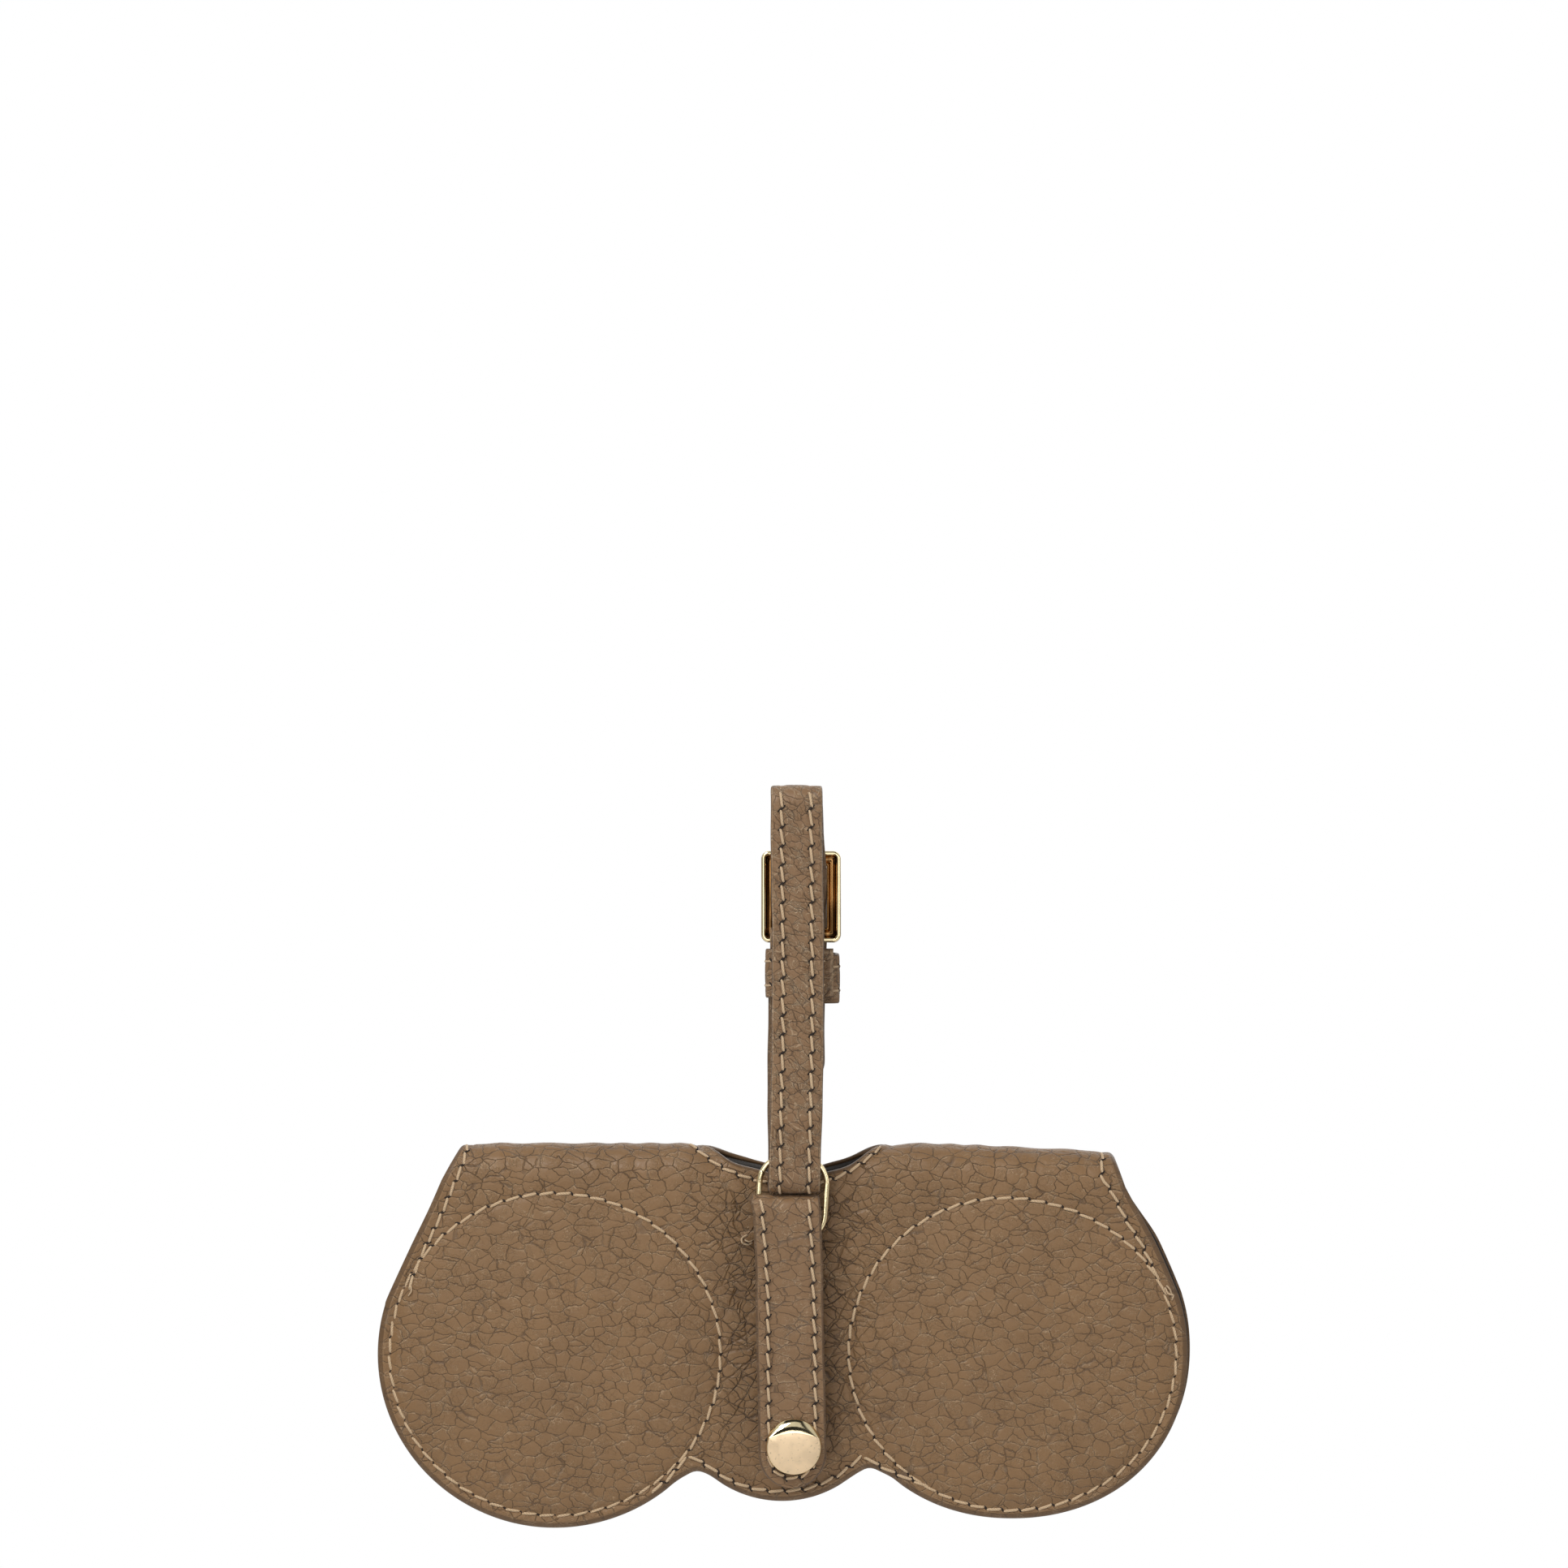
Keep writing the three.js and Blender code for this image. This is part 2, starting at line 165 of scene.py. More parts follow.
# ---- mesh makers ----
def new_object(name, verts_mm, faces, material, attributes=None, solid=True):
    """A mesh in the scene. A solid one is smooth, with its faces turned outwards."""
    mesh = bpy.data.meshes.new(name)
    mesh.from_pydata((np.asarray(verts_mm, float) * MM).tolist(), [], faces)
    mesh.validate()
    for key, values in (attributes or {}).items():
        values = np.asarray(values, np.float32)
        kind, field = ("FLOAT_VECTOR", "vector") if values.ndim == 2 else ("FLOAT", "value")
        mesh.attributes.new(key, kind, "POINT").data.foreach_set(field, values.ravel())
    mesh.materials.append(material)
    if solid:
        mesh.polygons.foreach_set("use_smooth", [True] * len(mesh.polygons))
        turn_outward(mesh)
    mesh.update()
    obj = bpy.data.objects.new(name, mesh)
    bpy.context.scene.collection.objects.link(obj)
    return obj


def turn_outward(mesh):
    b = bmesh.new()
    b.from_mesh(mesh)
    bmesh.ops.recalc_face_normals(b, faces=b.faces)
    b.to_mesh(mesh)
    b.free()


def grid_faces(n, m, looped, start=0):
    """Quads between n rings of m points. Where looped, the last ring joins the first."""
    faces = []
    for i in range(n if looped else n - 1):
        ring, after = start + i * m, start + ((i + 1) % n) * m
        for j in range(m):
            k = (j + 1) % m
            faces.append((ring + j, ring + k, after + k, after + j))
    return faces


def swept(name, centres, side, up, section, material, closed, attributes=None):
    """A section of (side, up) points carried along centres. side and up are a direction for each centre."""
    centres, side, up = (np.asarray(a, float) for a in (centres, side, up))
    section = np.asarray(section, float)
    if section.ndim == 2:
        section = np.repeat(section[None], len(centres), axis=0)
    rows = centres[:, None] + section[..., :1] * side[:, None] + section[..., 1:] * up[:, None]
    n, m = rows.shape[:2]
    faces = grid_faces(n, m, closed)
    if not closed:
        faces += [tuple(range(m))[::-1], tuple(range((n - 1) * m, n * m))]
    return new_object(name, rows.reshape(-1, 3), faces, material, attributes)


# ---- materials ----
def srgb(r, g, b):
    """Linear colour of an 8-bit display colour."""
    shares = [c / 255 for c in (r, g, b)]
    return tuple(c / 12.92 if c <= 0.04 else ((c + 0.055) / 1.055) ** 2.4 for c in shares) + (1,)


class Nodes:
    """Short calls to build a material's node tree."""

    def __init__(self, name="", tree=None):
        self.tree = tree
        if tree is None:
            self.material = bpy.data.materials.new(name)
            self.material.use_nodes = True
            self.tree = self.material.node_tree
            self.shader = self.tree.nodes["Principled BSDF"]

    def put(self, socket, value):
        if isinstance(value, bpy.types.NodeSocket):
            self.tree.links.new(value, socket)
        else:
            socket.default_value = value

    def node(self, kind, inputs=None, out=0, **settings):
        n = self.tree.nodes.new(kind)
        for key, value in settings.items():
            setattr(n, key, value)
        for key, value in (inputs or {}).items():
            self.put(n.inputs[key], value)
        return n.outputs[out]

    def attribute(self, name, out="Vector"):
        return self.node("ShaderNodeAttribute", out=out, attribute_name=name)

    def math(self, operation, a, b=0.0, clamp=False):
        return self.node("ShaderNodeMath", {0: a, 1: b}, operation=operation, use_clamp=clamp)

    def plus(self, a, b):
        return self.math("ADD", a, b)

    def minus(self, a, b):
        return self.math("SUBTRACT", a, b)

    def times(self, a, b):
        return self.math("MULTIPLY", a, b)

    def scaled(self, vector, x, y, z=1.0):
        return self.node("ShaderNodeVectorMath", {0: vector, 1: (x, y, z)}, operation="MULTIPLY")

    def added(self, a, b):
        return self.node("ShaderNodeVectorMath", {0: a, 1: b}, operation="ADD")

    def turned(self, vector, degrees):
        inputs = {"Vector": vector, "Angle": math.radians(degrees)}
        return self.node("ShaderNodeVectorRotate", inputs, rotation_type="Z_AXIS")

    def place(self):
        """The object's own coordinates, in metres."""
        return self.node("ShaderNodeTexCoord", out=3)

    def noise(self, vector, scale, detail=2.0, roughness=0.5, out=0):
        inputs = {"Vector": vector, "Scale": scale, "Detail": detail, "Roughness": roughness}
        return self.node("ShaderNodeTexNoise", inputs, out)

    def wander(self, vector, scale):
        """A noise vector about zero."""
        inputs = {0: self.noise(vector, scale, out=1), 1: (0.5, 0.5, 0.5)}
        return self.node("ShaderNodeVectorMath", inputs, operation="SUBTRACT")

    def cells(self, vector, randomness=1.0):
        """Distance to the nearest edge of cells one unit wide."""
        inputs = {"Vector": vector, "Scale": 1.0, "Randomness": randomness}
        return self.node("ShaderNodeTexVoronoi", inputs, feature="DISTANCE_TO_EDGE")

    def step(self, value, low, high, to_low=0.0, to_high=1.0):
        inputs = {"Value": value, "From Min": low, "From Max": high, "To Min": to_low, "To Max": to_high}
        return self.node("ShaderNodeMapRange", inputs, interpolation_type="SMOOTHSTEP")

    def mix(self, factor, a, b):
        n = self.tree.nodes.new("ShaderNodeMix")
        n.data_type = "RGBA"
        for index, value in ((0, factor), (6, a), (7, b)):
            self.put(n.inputs[index], value)
        return n.outputs[2]

    def bump(self, height, distance):
        return self.node("ShaderNodeBump", {"Height": height, "Distance": distance})

    def set(self, **values):
        for key, value in values.items():
            self.put(self.shader.inputs[key.replace("_", " ")], value)


def darker(colour, share):
    return tuple(share * c for c in colour[:3]) + (1,)


def fold_lines(m, flat, angle):
    """Long creases that run along one diagonal."""
    return m.step(m.cells(m.scaled(m.turned(flat, angle), 0.07, 0.27), 0.8), 0.0, 0.035, 1.0, 0.0)


def grain_masks(m, flat, cell, stretch):
    """Where the leather's creases, small lines, hairlines and crease lips lie. The hairlines and lips also
    mark painted highlights.
    """
    warp = m.wander(flat, 0.6 / cell)
    warped = m.added(flat, m.scaled(warp, cell * 1.1, cell, 0))
    warped = m.added(warped, m.scaled(m.wander(flat, 2.6 / cell), cell * 0.32, cell * 0.32, 0))
    grain = m.scaled(warped, 1 / (cell * stretch), 1 / cell)
    near = m.cells(grain)
    # the crease moved down onto its lower lip, where light from above would catch it: a painted highlight
    # mask
    lower = m.step(m.cells(m.added(grain, (0.0, 0.07, 0.0))), 0.0, 0.06, 1.0, 0.0)
    small = m.step(m.cells(m.scaled(warped, 1.7 / cell, 2.3 / cell)), 0.0, 0.06)
    crackle = m.step(m.cells(m.scaled(warped, 3.6 / cell, 4.6 / cell)), 0.0, 0.09, 1.0, 0.0)
    patches = m.step(m.noise(flat, 0.5 / cell, 1.0), 0.4, 0.62)
    tufts = m.step(m.noise(m.added(flat, (31.0, 7.0, 0.0)), 0.8 / cell, 1.0), 0.46, 0.64)
    return SimpleNamespace(
        body=m.step(near, 0.0, 0.4),
        crease=m.step(near, 0.0, m.plus(m.times(patches, 0.02), 0.034)),
        small=m.times(m.minus(1.0, small), patches),
        # the hairlines and lips are painted highlights; the hairlines are also carved into the relief
        hair_glints=m.times(crackle, tufts),
        lip=m.times(lower, m.plus(m.times(tufts, 0.5), 0.08)),
        patches=patches,
        bent=m.added(flat, m.scaled(warp, 1.6, 1.6, 0)),
    )


def leather_relief(m, grain, flat, fine):
    """The height of the grain, before scratches and edges."""
    height = m.plus(m.times(grain.body, 0.16), m.times(grain.crease, 0.34))
    height = m.times(height, m.minus(m.plus(m.times(grain.pinch, 0.35), 1.0), m.times(grain.lens, 0.2)))
    for mask, depth in ((grain.folds, 0.8), (grain.small, 0.1 * fine), (grain.hair_glints, 0.12 * fine)):
        height = m.minus(height, m.times(mask, depth))
    return m.plus(height, m.times(m.noise(flat, 3.4, 3.0, 0.6), 0.06 * fine))


def leather_colour(m, grain, flat, base, dark, light, fine):
    """The grain's colour, before scratches and edges, with painted highlights on the crease lips and
    hairlines and painted shade in the creases, folds and dip.
    """
    colour = m.mix(m.step(m.noise(flat, 0.06, 3.0), 0.3, 0.7), base, darker(base, 0.9))
    # painted highlights: light from above catching the creases' lower lips and the fine hairlines
    colour = m.mix(m.times(grain.lip, 0.7), colour, light)
    colour = m.mix(m.times(grain.hair_glints, 0.34 * fine), colour, light)
    # painted shade: the creases, small lines and fold lines are darkened, and the strained leather round the
    # dip a little
    depth = m.plus(m.times(grain.pinch, 0.1), m.plus(m.times(grain.patches, 0.2), 0.42))
    depth = m.minus(depth, m.times(grain.lens, 0.06))
    lines = m.minus(1.0, grain.crease)
    for mask, share in ((lines, depth), (grain.small, 0.07), (grain.folds, 0.38), (grain.pinch, 0.07)):
        colour = m.mix(m.times(mask, share), colour, dark)
    return colour


def leather(name, cell, stretch, depth, base, dark, light, fine=1.0, turn=0.0, trim=0.16, hairs=0.0):
    """Pebbled leather.

    cell is the grain's size in millimetres, stretch its length over its height, depth its bump in metres,
    fine the share of small marks, turn the grain's angle, trim the edge line's wear and painted highlight and
    hairs the pale scratches.
    """
    m = Nodes(name)
    flat = m.attribute("flat")
    if turn:
        flat = m.turned(flat, turn)
    edge = m.attribute("edge", "Fac")
    grain = grain_masks(m, flat, cell, stretch)
    grain.lens, grain.pinch = m.attribute("lens", "Fac"), m.attribute("pinch", "Fac")
    folds = m.math("MAXIMUM", *(fold_lines(m, grain.bent, angle) for angle in (40, -48)))
    grain.folds = m.times(folds, grain.pinch)
    relief = leather_relief(m, grain, flat, fine)
    colour = leather_colour(m, grain, flat, base, dark, light, fine)
    if hairs:
        scratches = m.step(m.cells(m.scaled(m.turned(grain.bent, 35), 0.24, 0.62)), 0.0, 0.035, hairs, 0.0)
        scratches = m.times(scratches, m.step(m.noise(flat, 0.42), 0.4, 0.54))
        relief = m.plus(relief, m.times(scratches, 0.3))
        colour = m.mix(scratches, colour, light)
    relief = m.times(relief, m.math("SUBTRACT", 1.0, edge, clamp=True))
    # a lighter line along the edge, part worn burnish and part painted highlight, and dark edge paint round
    # it
    burnish_and_highlight = m.times(m.step(edge, 0.05, 0.35), m.step(edge, 0.4, 0.6, 1.0, 0.0))
    wear_and_glint = m.step(m.noise(flat, 1.1), 0.35, 0.65, 0.4 * trim, trim)
    colour = m.mix(m.times(burnish_and_highlight, wear_and_glint), colour, light)
    colour = m.mix(m.step(edge, 0.55, 0.85, 0.0, 0.5), colour, dark)
    rough = m.step(m.noise(flat, 0.9, 3.0), 0.2, 0.8, 0.4, 0.56)
    m.set(Base_Color=colour, Roughness=rough, Normal=m.bump(relief, depth))
    m.set(Sheen_Weight=0.08, Sheen_Roughness=0.45, Specular_IOR_Level=0.45)
    return m.material


def suede(name, base, light):
    m = Nodes(name)
    flat = m.attribute("flat")
    nap = m.noise(flat, 5.0, 4.0, 0.7)
    brushed = m.noise(m.scaled(flat, 0.12, 0.4), 1.0, 3.0)
    m.set(Base_Color=m.mix(m.step(brushed, 0.3, 0.7), base, light), Roughness=0.95)
    m.set(Sheen_Weight=0.12, Sheen_Roughness=0.5, Normal=m.bump(nap, 0.00012))
    return m.material


def metal(name, base, rough, brushed=0.0, reflection_streak=None):
    """Plated metal with faint wear, fine scratches where brushed is above 0, and painted reflections in dark
    and pale bands where a streak colour is given.
    """
    m = Nodes(name)
    place = m.place()
    specks = m.step(m.noise(place, 1900.0), 0.62, 0.72, 0.0, 0.5 * min(1.0, brushed * 2))
    colour = m.mix(m.step(m.noise(place, 420.0, 3.0), 0.42, 0.7, 0.0, 0.45), base, darker(base, 0.72))
    colour = m.mix(specks, colour, darker(base, 0.4))
    if reflection_streak:
        # painted reflections: dark bands and pale bands of the streak colour
        bands = m.noise(m.scaled(place, 650, 300, 70), 1.0)
        colour = m.mix(m.step(bands, 0.36, 0.5, 1.0, 0.0), colour, darker(base, 0.25))
        colour = m.mix(m.step(bands, 0.55, 0.64), colour, reflection_streak)
    wear = m.step(m.noise(place, 260.0, 3.0), 0.3, 0.8, rough, rough + 0.1 + 0.2 * brushed)
    scratches = 900  # in a metre
    pits = m.noise(place, 3 * scratches)
    lines = m.noise(m.scaled(place, scratches, scratches, 6 * scratches), 1.0)
    height = m.plus(m.times(pits, 0.4), m.times(lines, brushed))
    m.set(Base_Color=colour, Metallic=1.0, Roughness=wear, Normal=m.bump(height, 0.000012))
    return m.material


def thread_material(name, base, dark):
    m = Nodes(name)
    along = m.attribute("flat")
    inputs = {"Vector": along, "Scale": 0.42, "Distortion": 0.3}
    ply = m.node("ShaderNodeTexWave", inputs, 1, wave_type="BANDS", bands_direction="DIAGONAL")
    fuzz = m.noise(along, 3.0, 3.0)
    shade = m.times(m.plus(m.times(ply, 0.5), m.times(fuzz, 0.5)), 0.7)
    m.set(Base_Color=m.mix(shade, base, dark), Roughness=0.62, Sheen_Weight=0.25)
    m.set(Normal=m.bump(m.plus(ply, m.times(fuzz, 0.4)), 0.00008))
    return m.material


def plain_rough(name, base, light):
    m = Nodes(name)
    grain = m.noise(m.place(), 700.0, 3.0)
    colour = m.mix(m.step(grain, 0.3, 0.7), base, light)
    m.set(Base_Color=colour, Roughness=0.9, Normal=m.bump(grain, 0.00006))
    return m.material


# each leather's dark colour is painted shade in its creases and also its edge paint; its light colour is
# painted highlight on crease lips, hairlines and the edge line, and the pale scratches
PANEL = leather("panel_leather", 2.1, 1.5, 0.00048, srgb(132, 100, 65), srgb(60, 42, 26), srgb(192, 162, 128))
FINE = leather(
    "strap_leather", 1.7, 1.7, 0.00036, srgb(131, 100, 69), srgb(48, 32, 20), srgb(202, 176, 144),
    fine=2.2, turn=28, trim=0.36, hairs=0.4,
)
TAB_SKIN = leather(
    "tab_leather_fine", 1.9, 1.8, 0.0003, srgb(130, 99, 67), srgb(50, 34, 22), srgb(196, 168, 136),
    fine=1.2, trim=0.4,
)
SUEDE = suede("lining_suede", srgb(38, 33, 30), srgb(52, 46, 41))
THREAD = thread_material("waxed_thread", srgb(220, 191, 153), srgb(172, 141, 106))
# dark lenses of painted shade that stand for the needle and prong holes
HOLE_SHADE = plain_rough("needle_hole_shade", srgb(34, 24, 18), srgb(48, 36, 28))
GOLD = metal("pale_gold", srgb(255, 236, 190), 0.05)
SATIN = metal("pale_gold_satin", srgb(240, 213, 176), 0.3, 0.5)
# darker brass for the buckle's trough: painted shade, with painted reflections in streaks
BRASS_SHADE_AND_REFLECTIONS = metal("brass_painted_shade_and_reflections", srgb(170, 126, 76), 0.14, reflection_streak=srgb(222, 186, 134))
STEEL = metal("snap_steel", srgb(196, 194, 190), 0.3, 0.5)


# ---- the case's outline ----
CREASE_LEFT, CREASE_RIGHT = -67.3, 63.4  # where the outline meets the front crease
CHIN_X, CHIN_Z, CHIN_R = -2.3, -113.7, 21.2


def half_outline():
    """The lower outline from the left crease round the lobes to the right crease, in x and z."""
    left_side = [(CREASE_LEFT, CREASE_Z), (-69.9, -79.4), (-73.1, -86.0)]
    left = arc(LEFT[0] - 0.1, LEFT[2] - 0.1, 33.9, 33.2, 160, 312, 40)
    cusp_left = [(-21.0, -130.2), (-18.7, -129.2), (-16.4, -129.8)]
    chin = arc(CHIN_X, CHIN_Z, CHIN_R, CHIN_R, 238, 302, 16)
    cusp_right = [(12.6, -129.3), (14.7, -128.6), (17.2, -129.6)]
    right = arc(RIGHT[0], RIGHT[2] + 0.1, 33.5, 31.6, 228, 382, 40, 2.12)
    right_side = [(69.3, -85.2), (66.3, -79.2), (CREASE_RIGHT, CREASE_Z)]
    return smooth_line(left_side + left + cusp_left + chin + cusp_right + right + right_side, 0.6)


def ends(z):
    """The fold's left and right end at height z above the crease."""
    t = (z - CREASE_Z) / FOLD_R
    return CREASE_LEFT + 3.1 * t, CREASE_RIGHT - 1.9 * t


# the notch through the fold: x, and how far up the fold its front and its back lip are
NOTCH = [
    (-16.2, 1.0, 1.0), (-12.1, 0.63, 0.8), (-6.7, 0.36, 0.54), (-2.2, 0.14, 0.33), (2.4, 0.14, 0.3),
    (5.7, 0.24, 0.4), (11.2, 0.56, 0.72), (16.5, 1.0, 1.0),
]
TURN = math.pi * FOLD_R


def front_outline():
    """The front and fold sheet in x and s. s is 0 at the front crease and TURN at the back one."""
    low = half_outline()
    low[:, 1] -= CREASE_Z
    phis = np.linspace(0, math.pi, 34)[1:]
    right = [(ends(CREASE_Z + FOLD_R * math.sin(p))[1], p * FOLD_R) for p in phis]
    left = [(ends(CREASE_Z + FOLD_R * math.sin(p))[0], p * FOLD_R) for p in phis][::-1]
    ring = np.vstack([low, right, resample([right[-1], left[0]], 0.8)[1:-1], left])
    back = [(x, TURN - math.asin(t) * FOLD_R) for x, _, t in NOTCH]
    front = [(x, math.asin(t) * FOLD_R) for x, t, _ in NOTCH]
    hole = np.vstack([smooth_line(back, 0.6)[:-1], smooth_line(front[::-1], 0.6)[:-1]])
    free = [np.vstack([left, low, right]), np.vstack([hole, hole[:1]])]
    return ring, hole, free


def sag(x, s):
    """How far the fold droops towards its right end."""
    return 1.5 * ramp(x, 20, 66) * ramp(s, -22, 4)


def front_place(x, s):
    """Where a point of the front's flat sheet lies, and the way out of the leather there."""
    phi = np.clip(s / FOLD_R, 0, math.pi)
    y = MID_Y - FOLD_R * np.cos(phi)
    z = CREASE_Z + FOLD_R * np.sin(phi) + np.minimum(s, 0) - np.maximum(s - TURN, 0) - sag(x, s)
    return columns(x, y, z), columns(0, -np.cos(phi), np.sin(phi))


def back_place(x, s):
    """The same on the back. s is 0 at the back crease and goes down from there as on the front."""
    return columns(x, REAR_Y, CREASE_Z + s - sag(x, s)), columns(0 * x, 1, 0)


def to_sheet(z):
    """The flat sheet's s of a point seen at height z on the front."""
    t = np.clip((z - CREASE_Z) / FOLD_R, 0, 1)
    return np.where(z < CREASE_Z, z - CREASE_Z, np.arcsin(t) * FOLD_R)


def edge_distance(points, lines):
    """How far each flat point is from some polylines."""
    points = np.asarray(points, float)
    lines = lines if isinstance(lines, list) else [lines]
    a = np.vstack([np.asarray(line, float)[:-1] for line in lines])
    b = np.vstack([np.asarray(line, float)[1:] for line in lines])
    best = np.full(len(points), np.inf)
    for start in range(0, len(a), 64):
        p, q = a[start : start + 64], b[start : start + 64]
        d = q - p
        t = np.einsum("nkc,kc->nk", points[:, None] - p, d) / np.maximum((d * d).sum(1), 1e-12)
        near = p + np.clip(t, 0, 1)[..., None] * d
        best = np.minimum(best, np.linalg.norm(points[:, None] - near, axis=2).min(1))
    return best


def inside(points, ring):
    """Which points lie inside a closed outline."""
    ring = np.asarray(ring, float)
    x, y = points[:, 0], points[:, 1]
    found = np.zeros(len(points), bool)
    for (x0, y0), (x1, y1) in zip(ring, np.roll(ring, -1, axis=0)):
        if y0 == y1:
            continue
        hit = ((y0 > y) != (y1 > y)) & (x < (x1 - x0) * (y - y0) / (y1 - y0) + x0)
        found ^= hit
    return found


def diagonal_folds(x, z, angle, pitch, drift):
    """Narrow crossing valleys, 1 at the bottom of one and 0 between."""
    a = math.radians(angle)
    u = (x * math.cos(a) + z * math.sin(a)) / pitch + drift * np.sin(0.23 * z + 0.17 * x)
    return (1 - np.abs(np.sin(math.pi * u))) ** 4


def lens_share(x, z, lens):
    """Distance from a lens ellipse's middle as a share of its radius."""
    return np.hypot((x - lens[0]) / lens[2], (z - lens[1]) / lens[3])


def relief(x, s, d, side=1):
    """How far the leather stands out from its flat stack. side is 1 for the front and -1 for the back."""
    z = CREASE_Z + np.minimum(s, 0)
    h = np.zeros_like(x)
    for lens in (LENS_LEFT, LENS_RIGHT):
        share = lens_share(x, z, lens)
        puff = np.clip(1 - share**2, 0, 1) ** 0.75
        h += LENS_PUFF * puff * (0.9 + 0.1 * np.sin(0.13 * x + 0.09 * z))
        h -= LENS_FURROW * bell((share - 1) * lens[2], 0.6)
    h += HEM_PUFF * ramp(d, 2.6, 6) * (1 - ramp(np.abs(x - SNAP[0]), 8, 24) * 0.3)
    h -= HEM_FURROW * bell(d - HEM, 0.55)
    h -= EDGE_ROLL * np.clip(1 - d, 0, 1) ** 2
    if side > 0:
        h -= MIDDLE_DIP * middle(x, s)
        creases = np.maximum(diagonal_folds(x, z, 38, 4.1, 0.35), diagonal_folds(x, z, -46, 3.7, 0.4))
        h -= 0.16 * creases * strained(x, s)
        h -= 0.1 * diagonal_folds(x, z, 8, 6.3, 0.5) * strained(x, s)
        # a small bump left of the tab, where a thread's loop shows
        h += 0.8 * np.exp(-(((x + 9.3) / 1.2) ** 2) - ((z + 85.2) / 0.65) ** 2)
    # slow waves down the panel, and ripples along the fold
    h += 0.16 * np.sin(0.21 * x + 0.4 * np.sin(0.11 * s)) * ramp(-s, 0, 8)
    h += 0.1 * np.sin(0.9 * x + 1.7 * np.sin(0.2 * x)) * (1 - ramp(-s, 0, 3))
    return h


def middle(x, s):
    """The dip under the tab."""
    return bell(x - SNAP[0] + 1, 9.0) * ramp(-s, -1, 9) * (1 - ramp(-s, 46, 58))


def strained(x, s):
    """The creased leather round the dip."""
    return bell(x - SNAP[0] + 1, 15.0) * ramp(-s, -3, 5) * (1 - ramp(-s, 44, 58))


def flat_mesh(rings, spacing):
    """Even triangles inside an outline and outside its holes, with finer rows along the edges."""
    low, high = rings[0].min(0), rings[0].max(0)
    rows = np.arange(low[1], high[1], spacing * 0.866)
    columns = np.arange(low[0], high[0], spacing)
    grid = [(x + (k % 2) * spacing / 2, s) for k, s in enumerate(rows) for x in columns]
    loops = [np.vstack([r, r[:1]]) for r in rings]

    def in_leather(points):
        keep = inside(points, rings[0])
        for hole in rings[1:]:
            keep &= ~inside(points, hole)
        return keep

    layers = [(grid, 1.25 + spacing * 0.5)]
    for ring in rings:
        layers += [(ring + inward(ring) * k, k * 0.93) for k in (0.22, 0.5, 0.85, 1.25)]
    extra = []
    for points, least in layers:
        points = np.array(points)
        points = points[in_leather(points)]
        extra.append(points[edge_distance(points, loops) >= least])
    starts = np.cumsum([0] + [len(r) for r in rings])
    bounds = [list(range(a, b)) for a, b in zip(starts, starts[1:])]
    edges = [(i, j) for ids in bounds[1:] for i, j in zip(ids, ids[1:] + ids[:1])]
    points = [Vector(p) for p in np.vstack(rings + extra)]
    out = delaunay_2d_cdt(points, edges, [bounds[0]], 1, 1e-6)
    flat = np.array([tuple(v) for v in out[0]], float)
    faces = [tuple(f) for f in out[2]]
    middles = np.array([flat[list(f)].mean(0) for f in faces])
    return flat, [f for f, keep in zip(faces, in_leather(middles)) if keep]


def rim_edges(faces):
    """The edges that only one face has."""
    edges = dict.fromkeys((a, b) for f in faces for a, b in zip(f, f[1:] + f[:1]))
    return [(a, b) for a, b in edges if (b, a) not in edges]


def solid_sheet(name, rings, free, outer, inner, place, spacing, material, pull=1.0):
    """A closed soft sheet.

    rings are its flat outline and its holes, free the edges that roll, outer and inner the heights of its two
    faces, and pull the share of strained creases in its middle.
    """
    flat, faces = flat_mesh(rings, spacing)
    x, s = flat[:, 0], flat[:, 1]
    d = edge_distance(flat, free)
    position, way = place(x, s)
    top, under = (position + way * height(x, s, d)[:, None] for height in (outer, inner))
    n = len(flat)
    all_faces = faces + [tuple(n + i for i in reversed(f)) for f in faces]
    all_faces += [(b, a, n + a, n + b) for a, b in rim_edges(faces)]
    z = CREASE_Z + np.minimum(s, 0)
    lens = np.maximum(*(1 - ramp(lens_share(x, z, shape), 0.97, 1.02) for shape in (LENS_LEFT, LENS_RIGHT)))
    flat3 = np.hstack([flat, np.zeros((n, 1))])
    attributes = {
        "flat": np.vstack([flat3, flat3 + [0, 0, 3]]),
        "edge": np.concatenate([1 - ramp(d, 0.75, 1.25), np.ones(n)]),
        "lens": np.tile(lens, 2),
        "pinch": np.tile(pull * strained(x, s), 2),
    }
    return new_object(name, np.vstack([top, under]), all_faces, material, attributes)


# ---- stitches ----
# a stitch's points: share of its length, rise above the leather and share of the thread's radius
STITCH_SHAPE = (
    (0, -0.2, 0.62), (0.06, 0.04, 0.82), (0.18, 0.14, 0.97), (0.5, 0.18, 1.0), (0.82, 0.14, 0.97),
    (0.94, 0.04, 0.82), (1, -0.2, 0.62),
)
SLIT_TURN = math.radians(-48)


